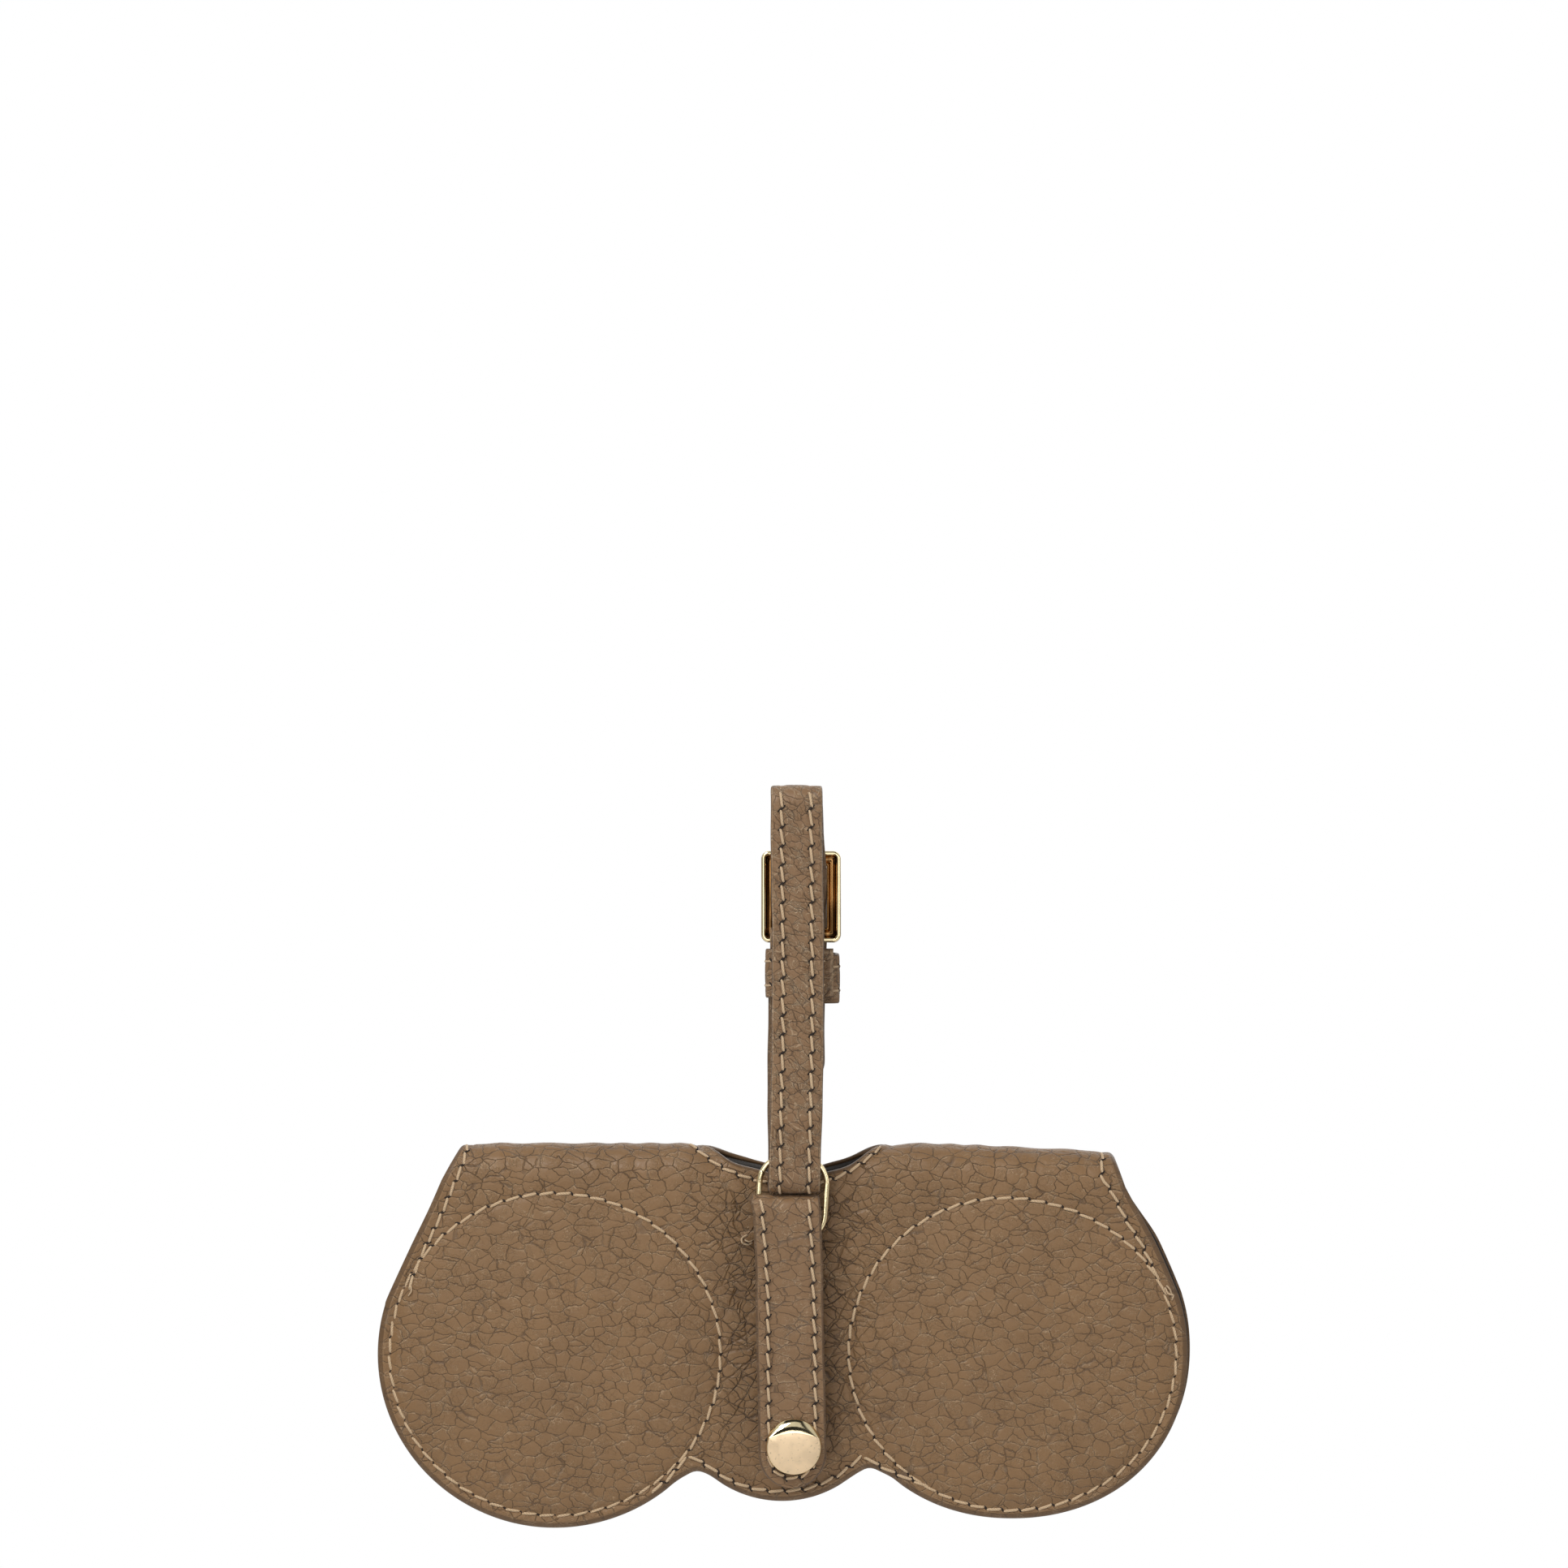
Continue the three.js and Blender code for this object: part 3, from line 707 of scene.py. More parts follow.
class Stitching:
    """Rows of slanted stitches and the needle holes between them, the holes drawn as dark lenses of painted
    shade, gathered into two meshes.
    """

    def __init__(self):
        self.verts, self.faces, self.flat = [], [], []
        self.hole_verts, self.hole_faces = [], []

    def tube(self, centres, radii, up):
        """One stitch: a tapered tube."""
        centres = np.array(centres)
        along = headings(centres)
        side = np.cross(along, up)
        side /= np.linalg.norm(side, axis=1)[:, None]
        over = np.cross(side, along)
        start, m = len(self.verts), 8
        run = lengths(centres)
        for i, (c, r) in enumerate(zip(centres, radii)):
            for k in range(m):
                a = 2 * math.pi * k / m
                self.verts.append(c + r * (math.cos(a) * side[i] + 0.85 * math.sin(a) * over[i]))
                self.flat.append((run[i] * 3.0, k * 3.0 / m * 2, start * 0.37 % 50))
        last = start + (len(centres) - 1) * m
        self.faces += grid_faces(len(centres), m, False, start)
        self.faces += [tuple(range(start, start + m))[::-1], tuple(range(last, last + m))]

    def hole(self, centre, along, side, up, length, width):
        """One needle hole: a thin dark lens of painted shade."""
        start, m = len(self.hole_verts), 10
        for k in range(m):
            a = 2 * math.pi * k / m
            c, s = length * math.cos(a), width * math.sin(a)
            self.hole_verts.append(centre + c * along + s * side - 0.02 * up)
        self.hole_verts.append(centre + 0.07 * up)
        self.hole_verts.append(centre - 0.3 * up)
        self.hole_faces += [(start + k, start + (k + 1) % m, start + m) for k in range(m)]
        self.hole_faces += [(start + (k + 1) % m, start + k, start + m + 1) for k in range(m)]

    def row(self, line, normals, pitch, slant=0.24, radius=THREAD_R, seed=1, slit=1.15, closed=False):
        """Stitches along a line that lies on a surface."""
        line, normals = np.asarray(line, float), np.asarray(normals, float)
        along = lengths(line)
        count = max(1, int(round(along[-1] / pitch)))
        pitch = along[-1] / count
        rng = np.random.default_rng(seed)

        def read(values, t):
            return np.array([np.interp(t, along, values[:, k]) for k in range(3)])

        def at(t):
            t = np.clip(t, 0, along[-1])
            ahead = read(line, min(t + 0.2, along[-1])) - read(line, max(t - 0.2, 0))
            n = read(normals, t)
            n /= np.linalg.norm(n)
            tangent = ahead / max(np.linalg.norm(ahead), 1e-9)
            return read(line, t), tangent, np.cross(n, tangent), n

        for i in range(count):
            j0, j1 = rng.uniform(-1, 1, 2) * 0.06
            t0, t1 = i * pitch + 0.2 + j0, (i + 1) * pitch - 0.2 + j1
            lean = slant * (1 + 0.35 * rng.uniform(-1, 1))
            shift = 0.05 * rng.uniform(-1, 1)
            centres = []
            for f, rise, _ in STITCH_SHAPE:
                p, tangent, side, n = at(t0 + (t1 - t0) * f)
                across = 2 * f - 1
                bend = lean * (0.45 * across + 0.75 * across**5)
                centres.append(p + side * (bend + shift) + n * rise * radius / THREAD_R)
            p, tangent, side, n = at((t0 + t1) / 2)
            self.tube(centres, radius * np.array([thick for _, _, thick in STITCH_SHAPE]), n)
            if i < count - 1 or closed:
                p, tangent, side, n = at((i + 1) * pitch)
                c, s = math.cos(SLIT_TURN), math.sin(SLIT_TURN)
                a, b = c * tangent + s * side, c * side - s * tangent
                self.hole(p + n * 0.13, a, b, n, 0.8 * slit, 0.23 * (0.6 + 0.4 * slit))

    def build(self, name, body, *replaced):
        """Makes the two meshes, which ride a body and stand for the CAD's threads."""
        thread = new_object(f"{name}_stitches", self.verts, self.faces, THREAD, {"flat": self.flat})
        # the hole mesh is painted shade
        holes = new_object(f"{name}_holes", self.hole_verts, self.hole_faces, HOLE_SHADE)
        for obj in (thread, holes):
            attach(obj, body)
        if replaced:
            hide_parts(*replaced)


# ---- build the case ----
def on_sheet(points, free, place, height):
    """Places a flat line on the displaced sheet, with its normals."""
    d = edge_distance(points, free)
    position, way = place(points[:, 0], points[:, 1])
    return position + way * height(points[:, 0], points[:, 1], d)[:, None], way


def leather_back(x, s, d):
    return np.full_like(x, -SKIN)


def lining_face(x, s, d):
    return np.full_like(x, -SKIN - 0.08)


def lining_back(x, s, d):
    return -LINING_IN + 0.35 * np.clip(1 - d / 0.8, 0, 1) + 0.12 * np.sin(0.35 * x) * np.sin(0.3 * s)


def build_front():
    ring, hole, free = front_outline()
    skin = solid_sheet(
        "front_panel_leather", [ring, hole], free, relief, leather_back, front_place, 0.75, PANEL
    )
    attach(skin, "case_front")
    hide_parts("front_leather", "fold_leather_left", "fold_leather_right")
    edges = [shrink(ring, LINING_INSET, TURN), shrink(hole, LINING_INSET, TURN)]
    lining = solid_sheet(
        "front_panel_lining", edges, edges, lining_face, lining_back, front_place, 1.5, SUEDE
    )
    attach(lining, "case_front")
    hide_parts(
        "front_lining", "front_interlining", "front_pad_left", "front_pad_right", "fold_lining_left",
        "fold_lining_right", "fold_interlining_left", "fold_interlining_right",
    )
    return free


def shrink(ring, d, turn):
    """The outline moved in by d, except where it meets the back panel."""
    moved = ring + inward(ring) * d
    moved[:, 1] = np.minimum(moved[:, 1], turn)
    return moved


def lens_line(lens):
    return np.array(arc(*lens, 90, -270, 180))


def row_on_front(stitches, line, free, seed, closed=False):
    """A row along a line given as seen from the front, in x and z."""
    flat = columns(line[:, 0], to_sheet(line[:, 1]))
    place, way = on_sheet(flat, free, front_place, relief)
    stitches.row(place, way, STITCH, seed=seed, closed=closed)


def build_front_stitching(free):
    st = Stitching()
    for k, lens in enumerate((LENS_LEFT, LENS_RIGHT)):
        row_on_front(st, resample(lens_line(lens), 0.4), free, 2 + k, True)
    top = CREASE_Z + FOLD_R
    rows = (
        [
            (-62.5, top - 0.02), (-63.2, -70.3), (-64.8, -74.1), (-66.3, -77.7), (-67.6, -80.8),
            (-71.0, -87.6), (-73.6, -94.6),
        ],
        [
            (59.2, top - 0.05), (58.9, -71.6), (60.6, -74.3), (63.9, -80.9), (67.3, -87.0), (69.9, -93.0),
            (71.3, -95.8),
        ],
        [(-27.4, -133.2), (-23.9, -130.4), (-20.3, -126.3)],
        [
            (-20.1, -126.0), (-16.6, -128.0), (-12.2, -130.8), (-7.4, -132.5), (-2.8, -132.9), (2.4, -132.4),
            (7.4, -130.4), (10.7, -128.2), (13.2, -126.1),
        ],
        [(13.4, -126.3), (16.8, -128.3), (21.0, -130.2), (26.0, -132.3)],
        [
            (-19.9, top - 0.05), (-17.1, -69.0), (-14.6, -70.5), (-12.0, -71.9), (-7.3, -73.5), (-1.0, -74.7),
            (6.5, -73.5), (11.6, -71.2), (16.9, top - 0.3),
        ],
    )
    for k, points in enumerate(rows):
        row_on_front(st, smooth_line(points, 0.4), free, 4 + k)
    loose_ends = (
        ([(70.9, -94.0), (71.6, -95.2), (72.5, -95.4), (72.2, -96.4)], 0.2),
        ([(71.2, -93.6), (71.9, -94.5), (72.3, -96.0)], 0.16),
        ([(-73.2, -93.4), (-73.0, -94.6), (-73.6, -95.6)], 0.18),
        ([(-8.9, -84.0), (-9.9, -84.6), (-9.7, -85.5), (-8.6, -85.8), (-7.9, -85.4)], 0.2),
        ([(-9.3, -84.9), (-8.6, -85.2), (-7.8, -85.0)], 0.15),
    )
    for points, radius in loose_ends:
        line = smooth_line(points, 0.3)
        place, way = on_sheet(line - [0, CREASE_Z], free, front_place, relief)
        rise = 0.12 + 0.3 * np.sin(np.linspace(0, math.pi, len(line)))
        st.tube(place + way * rise[:, None], radius * np.linspace(1, 0.7, len(line)), way[0])
    circles = ("front_circle_thread_left", "front_circle_thread_right")
    st.build("front_panel", "case_front", "front_edge_thread", *circles)


def build_back():
    low = half_outline()
    low[:, 1] -= CREASE_Z
    low[:, 0] += BACK_SHIFT * ramp(-low[:, 1], 0, 12)
    free = low
    top = resample([low[-1], low[0]], 0.8)[1:-1]
    ring = np.vstack([low, top])

    def outer(x, s, d):
        return relief(x - BACK_SHIFT, s, d, -1)

    skin = solid_sheet("back_panel_leather", [ring], free, outer, leather_back, back_place, 0.9, PANEL, 0.15)
    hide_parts("back_leather")
    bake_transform(skin)
    inset = shrink(ring, LINING_INSET, -0.4)
    lining = solid_sheet(
        "back_panel_lining", [inset], inset, lining_face, lining_back, back_place, 1.5, SUEDE
    )
    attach(lining, "case_back")
    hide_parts("back_lining", "back_interlining", "back_pad_left", "back_pad_right")
    st = Stitching()

    def row(points, seed, closed=False):
        line = resample(points, 0.4)
        flat = line + [BACK_SHIFT, -CREASE_Z]
        place, way = on_sheet(flat, free, back_place, outer)
        st.row(place, way, STITCH, seed=seed, closed=closed)

    row(lens_line(LENS_LEFT), 22, True)
    row(lens_line(LENS_RIGHT), 23, True)
    # the hem's stitches run only down the two sides and along the chin
    hem = shrink(low, HEM, 0) + [-BACK_SHIFT, CREASE_Z]
    count = len(hem)
    row(hem[3 : int(count * 0.11)], 24)
    row(hem[int(count * 0.89) : -3], 25)
    chin = [(-20.1, -126.0), (-12.2, -130.8), (-2.8, -132.9), (7.4, -130.4), (13.2, -126.1)]
    row(smooth_line(chin, 0.4), 26)
    st.build("back_panel", "case_back")


free_edge = build_front()
build_front_stitching(free_edge)
build_back()


# ---- ribbons ----
def run_and_out(path):
    """The distance along a path in y and z, and the way out of its outer face."""
    step = headings(path)
    return lengths(path), columns(-step[:, 1], step[:, 0])


def ribbon_section(w, r, top, outer_t, inner_t):
    """A ribbon's edges and inner face, as points of across, out, edge share (dark edge paint, or near the top
    a lighter line of burnish and painted highlight) and place in the grain.
    """

    def corner(hand, face, level, turns):
        out = []
        for k in turns:
            t = math.pi / 2 * k / 6
            across, rise = w - r + r * math.sin(t), level - r + r * math.cos(t)
            paint, grain = (k / 5, w) if face > 0 else (1.0, w + 2)
            out.append((hand * across, face * rise, paint, hand * grain))
        return out

    middle = (outer_t - inner_t) / 2
    inner_face = [(a * (w - r), -inner_t, 0.0, a * (w - r) + 40) for a in np.linspace(1, -1, 9)]
    right = corner(1, 1, top, (1, 2, 3, 4, 5)) + [(w + 0.05, middle, 1.0, w + 1)]
    right += corner(1, -1, inner_t, (5, 3, 1))
    left = corner(-1, -1, inner_t, (1, 3, 5)) + [(-w - 0.05, middle, 1.0, -w - 1)]
    return right + inner_face + left + corner(-1, 1, top, (5, 4, 3, 2, 1))


def ribbon(name, path, half, centre, outer_t, inner_t, material, rows=(), *, crown, round_r=0.42, seed):
    """A strap on a path in y and z.

    half and centre give its half width and its middle at each distance along it, outer_t and inner_t its
    thickness on either side of the path, and rows the stitch furrows' places across it.
    """
    path = np.array(path, float)
    along, out = run_and_out(path)
    phase = np.random.default_rng(seed).uniform(0, 6, 4)
    verts, flat, edge = [], [], []
    for i, s in enumerate(along):
        w = half(s)
        c = centre(s) + 0.05 * math.sin(0.21 * s + phase[0]) + 0.03 * math.sin(0.53 * s + phase[1])
        r = min(round_r, w * 0.45)
        section = []
        for a in np.linspace(-1, 1, 25):
            u = a * (w - r)
            top = outer_t + crown * (1 - a * a) - sum(FURROW * bell(u - g, 0.55) for g in rows)
            top += 0.05 * math.sin(0.35 * s + phase[2] + 1.3 * a)
            section.append((u, top - crown * 0.5, 0.0, u))
        section += ribbon_section(w, r, outer_t - crown * 0.5, outer_t, inner_t)
        for u, v, e, f in section:
            y, z = path[i] + out[i] * v
            verts.append((c + u, y, z))
            flat.append((f, s, seed * 7.0))
            edge.append(e)
    n, m = len(along), len(verts) // len(along)
    faces = grid_faces(n, m, False)
    faces += [tuple(range(m)), tuple(range((n - 1) * m, n * m))[::-1]]
    zero = np.zeros(len(verts))
    attributes = {"flat": flat, "edge": np.array(edge) * 0.85, "lens": zero, "pinch": zero}
    return new_object(name, verts, faces, material, attributes)


def on_ribbon(path, offset, outer_t, centre):
    """A line on a ribbon's outer face, offset from its middle."""
    line, way = [], []
    for p, s, out in zip(path, *run_and_out(path)):
        y, z = p + out * outer_t
        line.append((centre(s) + offset, y, z))
        way.append((0, *out))
    return np.array(line), np.array(way)


def circle(cy, cz, r, start, end, steps):
    """Points of an arc in y and z, angles in degrees."""
    turns = [math.radians(a) for a in np.linspace(start, end, steps + 1)]
    return [(cy + r * math.cos(a), cz + r * math.sin(a)) for a in turns]


# the strap's glue line, as in the CAD: the back run and the tail in y, and the top loop's radius
RUN_Y, TAIL_Y, RUN = 5.6, 7.9, 3.3
BAR_Y, BAR_Z = 4.0, -27.35  # the buckle's heel bar
STRAP_HALF = 4.88  # half of the strap's width
TIE_R = 2.4  # the lower bend, round the ring


def strap_path():
    """Down the back, round the ring, up the front, over the top and down the tail, in y and z."""
    lower = [
        (RUN_Y, -31.8), (RUN_Y, -42.0), (RUN_Y, -51.0), (5.0, -55.0), (3.3, -60.0), (2.7, -64.0),
        (TIE_R, -68.0), (TIE_R, -71.5),
    ]
    up = [(-TIE_R, -71.5), (-TIE_R, -69.5), (-2.75, -65.0), (-RUN, -60.0), (-RUN, -30.0), (-RUN, -3.0)]
    down = [
        (RUN, -3.0), (RUN, -9.0), (RUN, -13.0), (3.9, -16.0), (5.6, -19.7), (7.3, -23.2), (TAIL_Y, -26.5),
        (TAIL_Y, -34.0), (TAIL_Y, -55.4),
    ]
    parts = [
        smooth_line(lower, 0.8), circle(0, -72.3, TIE_R, 0, -180, 14), smooth_line(up, 0.8),
        circle(0, -2.35, RUN, 180, 0, 16), smooth_line(down, 0.8),
    ]
    keep = [parts[0][0]]
    for p in np.vstack(parts)[1:]:
        if math.dist(p, keep[-1]) > 0.25:
            keep.append(p)
    return resample(keep, 0.6)


def build_strap():
    path = strap_path()
    along = lengths(path)
    foot, top = int(np.argmin(path[:, 1])), int(np.argmax(path[:, 1]))

    def half(s):
        left = along[-1] - s
        if left < STRAP_HALF:
            return max(0.5, STRAP_HALF * math.sqrt(max(0.0, 1 - (1 - left / STRAP_HALF) ** 2.4)))
        return STRAP_HALF

    def centre(s):
        # the front run leans a little to the left at its foot, and the two back runs stand out on either side
        z = float(np.interp(s, along, path[:, 1]))
        if s < along[foot]:
            return float(np.interp(z, (-70, -60, -32, -10, 0), (0.0, -0.1, 0.1, 0.6, 0.5)))
        if s < along[top]:
            return float(np.interp(z, (-76, -68, -45, -25, 0), (0.1, 0.3, 0.8, 0.75, 0.5)))
        return float(np.interp(z, (-56, -50, -36, -27, -14, -7, 0), (1.0, 1.0, 1.1, 1.4, 1.4, 0.8, 0.5)))

    rows = (-2.75, 2.75)
    belt = ribbon("strap_belt", path, half, centre, 1.0, 0.95, FINE, rows, crown=0.22, seed=3)
    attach(belt, "strap")
    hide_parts("strap_leather", "strap_lining")
    build_chape(rows)
    st = Stitching()
    for k, x in enumerate((-2.85, 2.7)):
        line, way = on_ribbon(path, x, 1.0 + 0.05, centre)
        for j, part in enumerate((slice(foot, top - 3), slice(top + 2, -9), slice(14, foot))):
            seed = 30 + k + 2 * j
            st.row(line[part], way[part], STRAP_STITCH, slant=0.3, seed=seed, radius=0.27, slit=1.3)
    punch_tail(st, path, centre, top)
    st.build("strap", "strap", "strap_thread_left", "strap_thread_right")


def build_chape(rows):
    """The short end that wraps the buckle's heel bar."""
    up = [(RUN_Y - 1.05, -41.0), (RUN_Y - 1.05, -34.0), (RUN_Y - 1.05, -29.8), (BAR_Y - 1.2, -28.4)]
    down = [(BAR_Y + 1.2, -27.6), (RUN_Y - 0.1, -29.0), (RUN_Y, -30.2), (RUN_Y, -31.9)]
    eye = circle(BAR_Y, BAR_Z, 1.2, 180, 0, 14)[1:]
    path = np.vstack([smooth_line(up, 0.5), eye, smooth_line(down, 0.4)])
    wrap = ribbon(
        "strap_chape", resample(path, 0.4), lambda s: STRAP_HALF - 0.1, lambda s: STRAP_X, 0.95, -0.05, FINE,
        rows, crown=0.05, round_r=0.25, seed=4,
    )
    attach(wrap, "strap")


def punch_tail(st, path, centre, top):
    """The tail's two spare prong holes on both of its faces, drawn as dark lenses of painted shade."""
    line, way = on_ribbon(path, 0.0, 1.0, centre)
    for z in (-44.0, -49.0):
        k = top + int(np.argmin(np.abs(path[top:, 1] - z)))
        along = line[k + 1] - line[k]
        along /= np.linalg.norm(along)
        for reach, up in ((0.16, way[k]), (-2.0, -way[k])):
            st.hole(line[k] + way[k] * reach, np.array([1.0, 0, 0]), along, up, 0.85, 0.95)


def crumple_corner(flap, z0):
    """Pushes the fold's left corner forwards, over the ring's limb."""
    co = np.empty(len(flap.data.vertices) * 3)
    flap.data.vertices.foreach_get("co", co)
    co = co.reshape(-1, 3) / MM
    w = ramp(-co[:, 0], 4.6, 6.2) * ramp(co[:, 2], z0 - 0.6, z0 + 2.0)
    forward = np.maximum(co[:, 1] + 2.1, 0)
    co[:, 1] -= w * forward * 0.8
    co[:, 0] -= w * (0.6 + 0.15 * np.sin(5 * co[:, 2]))
    co[:, 2] += w * (0.25 + 0.3 * np.sin(3.1 * co[:, 0] + 1.0))
    flap.data.vertices.foreach_set("co", (co * MM).ravel())
    flap.data.update()


TAB_GLUE = 2.35  # radius of the fold's glue line
TAB_FOLD_Z = LOOP_HIGH[2] - 2.75
TAB_OUT, TAB_IN = 0.95, 0.85  # leather on either side of the glue line
TAB_END = 6.6  # length of the tab's rounded end


def build_tab():
    foot = TAB_FOOT_Z + 0.8
    arc_back = circle(0, TAB_FOLD_Z, TAB_GLUE, 0, 180, 22)
    down = [(-TAB_GLUE, z) for z in np.linspace(TAB_FOLD_Z - 0.6, foot + 8, 70)]
    tail = [(-TAB_GLUE, z) for z in foot + 8 * (1 - np.sin(np.linspace(0, math.pi / 2, 26)[1:])) + 0.02]
    path = np.array(arc_back + down + tail)
    along = lengths(path)
    start_down = along[len(arc_back) - 1]

    def half(s):
        left = along[-1] - s
        width = float(5.4 + 1.0 * ramp(s, 1.5, start_down - 1.0))
        if left < TAB_END:
            return max(0.25, width * math.sqrt(max(0.0, 1 - (1 - left / TAB_END) ** 2)))
        return width

    def centre(s):
        z = float(np.interp(s, along, path[:, 1]))
        lean = float(np.interp(z, (-125, -92, -76), (-0.25, -0.85, -1.4)))
        share = float(ramp(s, 0.5, start_down - 1.5))
        return lean * share - 0.2 * (1 - share)

    flap = ribbon("tab_front", path, half, centre, TAB_OUT, TAB_IN, TAB_SKIN, crown=0.28, seed=5)
    crumple_corner(flap, TAB_FOLD_Z)
    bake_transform(flap)
    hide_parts("tab_leather", "tab_lining")
    back = [(TAB_GLUE, z) for z in np.linspace(LOOP_LOW[2], TAB_FOLD_Z, 40)]
    leg = ribbon(
        "tab_back_leg", back, lambda s: 5.4, lambda s: 0.0, TAB_IN, TAB_OUT, TAB_SKIN, crown=0.05, seed=6
    )
    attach(leg, "case_front")
    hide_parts("tab_loop")
    build_tab_stitching(foot)


def build_tab_stitching(foot):
    """A row down each side and one round the end, in one run of thread."""
    turn_x, turn_z, turn_r = -0.3, foot + TAB_END - 0.2, 4.45
    top_z = TAB_FOLD_Z + 2.6
    left = [(-6.1, top_z), (-5.75, -82.0), (-5.05, -92.0), (-4.85, -105.0), (turn_x - turn_r, turn_z)]
    right = [(turn_x + turn_r, turn_z), (4.0, -105.0), (3.65, -92.0), (3.15, -82.0), (2.9, top_z)]
    turn = arc(turn_x, turn_z, turn_r, turn_r, 180, 360, 30)
    rows = ((smooth_line(left, 0.4), 3.3), (resample(turn, 0.4), 2.9), (smooth_line(right, 0.4), 3.3))
    lift, over = -TAB_GLUE - TAB_OUT - 0.14, TAB_GLUE + 1.09
    st = Stitching()
    for k, (line, pitch) in enumerate(rows):
        bent = np.clip(line[:, 1] - TAB_FOLD_Z, 0, None)
        y = lift + over - np.sqrt(np.maximum(over**2 - bent**2, 0))
        way = columns(0, y, bent)
        way /= np.linalg.norm(way, axis=1)[:, None]
        st.row(columns(line[:, 0], y, line[:, 1]), way, pitch, slant=0.3, seed=40 + k, radius=0.27, slit=1.25)
    st.build("tab", "tab_flap", "tab_thread")


build_strap()
build_tab()


# ---- metal ----
def rounded_rectangle(half_w, half_h, r, per_corner=14):
    """Points round a rounded rectangle."""
    points = []
    for sx, sy, base in ((1, 1, 0), (-1, 1, 90), (-1, -1, 180), (1, -1, 270)):
        for k in range(per_corner + 1):
            a = math.radians(base + 90 * k / per_corner)
            points.append((sx * (half_w - r) + r * math.cos(a), sy * (half_h - r) + r * math.sin(a)))
    return np.array(points)


def build_ring():
    wire = 0.5
    middle = (RING_LOW + RING_HIGH) / 2 + [-0.3, 0, 0.1]
    half_w, half_h = 6.9 - wire, 8.3 - wire
    points = rounded_rectangle(half_w, half_h, 5.0, 20)
    points = resample(np.vstack([points, points[:1]]), 0.4)[:-1]
    lean = math.radians(-4)
    points = points @ np.array([[math.cos(lean), math.sin(lean)], [-math.sin(lean), math.cos(lean)]])
    centres = columns(middle[0] + points[:, 0], middle[1], middle[2] + points[:, 1])
    inner = inward(points)
    side = columns(-inner[:, 0], 0, -inner[:, 1])
    up = np.tile([0, -1.0, 0], (len(points), 1))

    def oval(a, b, power=0.75):
        turns = np.linspace(0, 2 * math.pi, 28, endpoint=False)
        c, d = np.cos(turns), np.sin(turns)
        return columns(a * np.sign(c) * np.abs(c) ** power, b * np.sign(d) * np.abs(d) ** power)

    ring = swept("oval_link", centres, side, up, oval(0.54, 0.5), GOLD, True)
    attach(ring, "ring")
    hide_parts("oval_ring")
    # the link's two ends meet in a short sleeve at the top of its left limb
    near = np.argsort(np.hypot(points[:, 0] + 6.0, points[:, 1] - 4.3))[:4]
    run = np.arange(near.min() - 1, near.max() + 3)
    radii = np.interp(run, (run[0], run[0] + 1, run[-1] - 1, run[-1]), (wire, 0.6, 0.6, wire))
    section = [oval(r, r, 1.0) for r in radii]
    sleeve = swept("oval_link_sleeve", centres[run], side[run], up[run], section, GOLD, False)
    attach(sleeve, "ring")


def build_buckle():
    """A frame that is hollow underneath, and the prong whose eye turns on its heel bar."""
    low, high = BUCKLE_LOW, BUCKLE_HIGH
    tilt = math.radians(6.5)
    half_w, half_h = (high[0] - low[0]) / 2, 8.75
    middle_x = (low[0] + high[0]) / 2 + 0.8
    origin = np.array([middle_x, BAR_Y, BAR_Z])
    x_axis = np.array([1.0, 0, 0])
    z_axis = np.array([0, math.sin(tilt), math.cos(tilt)])
    y_axis = np.array([0, math.cos(tilt), -math.sin(tilt)])
    # the underside is hollow: a bright outer rim, a trough painted darker for its shade and reflections, and
    # a lower inner rim
    section = [
        (0.0, -0.5), (0.0, 0.4), (0.08, 0.7), (0.28, 0.86), (0.62, 0.86), (0.82, 0.66), (0.96, 0.15),
        (1.2, -0.25), (1.55, -0.4), (1.95, -0.3), (2.25, 0.0), (2.36, 0.3), (2.46, 0.38), (2.6, 0.3),
        (2.7, 0.1), (2.7, -0.4), (2.5, -0.75), (1.6, -0.95), (0.4, -0.86), (0.08, -0.7),
    ]
    rows = []
    for inset, height_up in section:
        points = rounded_rectangle(half_w - inset, half_h - inset, max(1.5 - inset, 0.3))
        x, z = points[:, :1], points[:, 1:] + half_h - 0.75
        rows.append(origin + x * x_axis + z * z_axis - height_up * y_axis)
    rows = np.array(rows)
    faces = grid_faces(*rows.shape[:2], True)
    buckle = new_object("buckle_rim", rows.reshape(-1, 3), faces, GOLD)
    # the trough's rows take the darker brass: painted shade with painted reflection streaks
    buckle.data.materials.append(BRASS_SHADE_AND_REFLECTIONS)
    for k, face in enumerate(buckle.data.polygons):
        if 5 <= k // rows.shape[1] <= 14:
            face.material_index = 1
    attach(buckle, "buckle")
    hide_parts("buckle_frame")
    build_prong()


def build_prong():
    eye = np.array(circle(BAR_Y, BAR_Z, 1.5, 250, -70, 30))
    arm = smooth_line([eye[0], (4.9, -25.6), (6.35, -19.0), (7.35, -12.6), (7.2, -11.4)], 0.35)
    line = np.vstack([eye[::-1][:-1], arm])
    centres = columns(STRAP_X, *line.T)
    side = np.tile([1.0, 0, 0], (len(line), 1))
    up = np.cross(headings(centres), side)
    taper = np.interp(np.arange(len(line)), [0, len(line) - 8, len(line) - 1], [1, 1, 0.45])
    turns = np.linspace(0, 2 * math.pi, 16, endpoint=False)
    section = [[(0.6 * t * math.cos(a), 0.42 * t * math.sin(a)) for a in turns] for t in taper]
    prong = swept("buckle_tongue", centres, side, up, section, GOLD, False)
    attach(prong, "prong")
    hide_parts("buckle_prong")


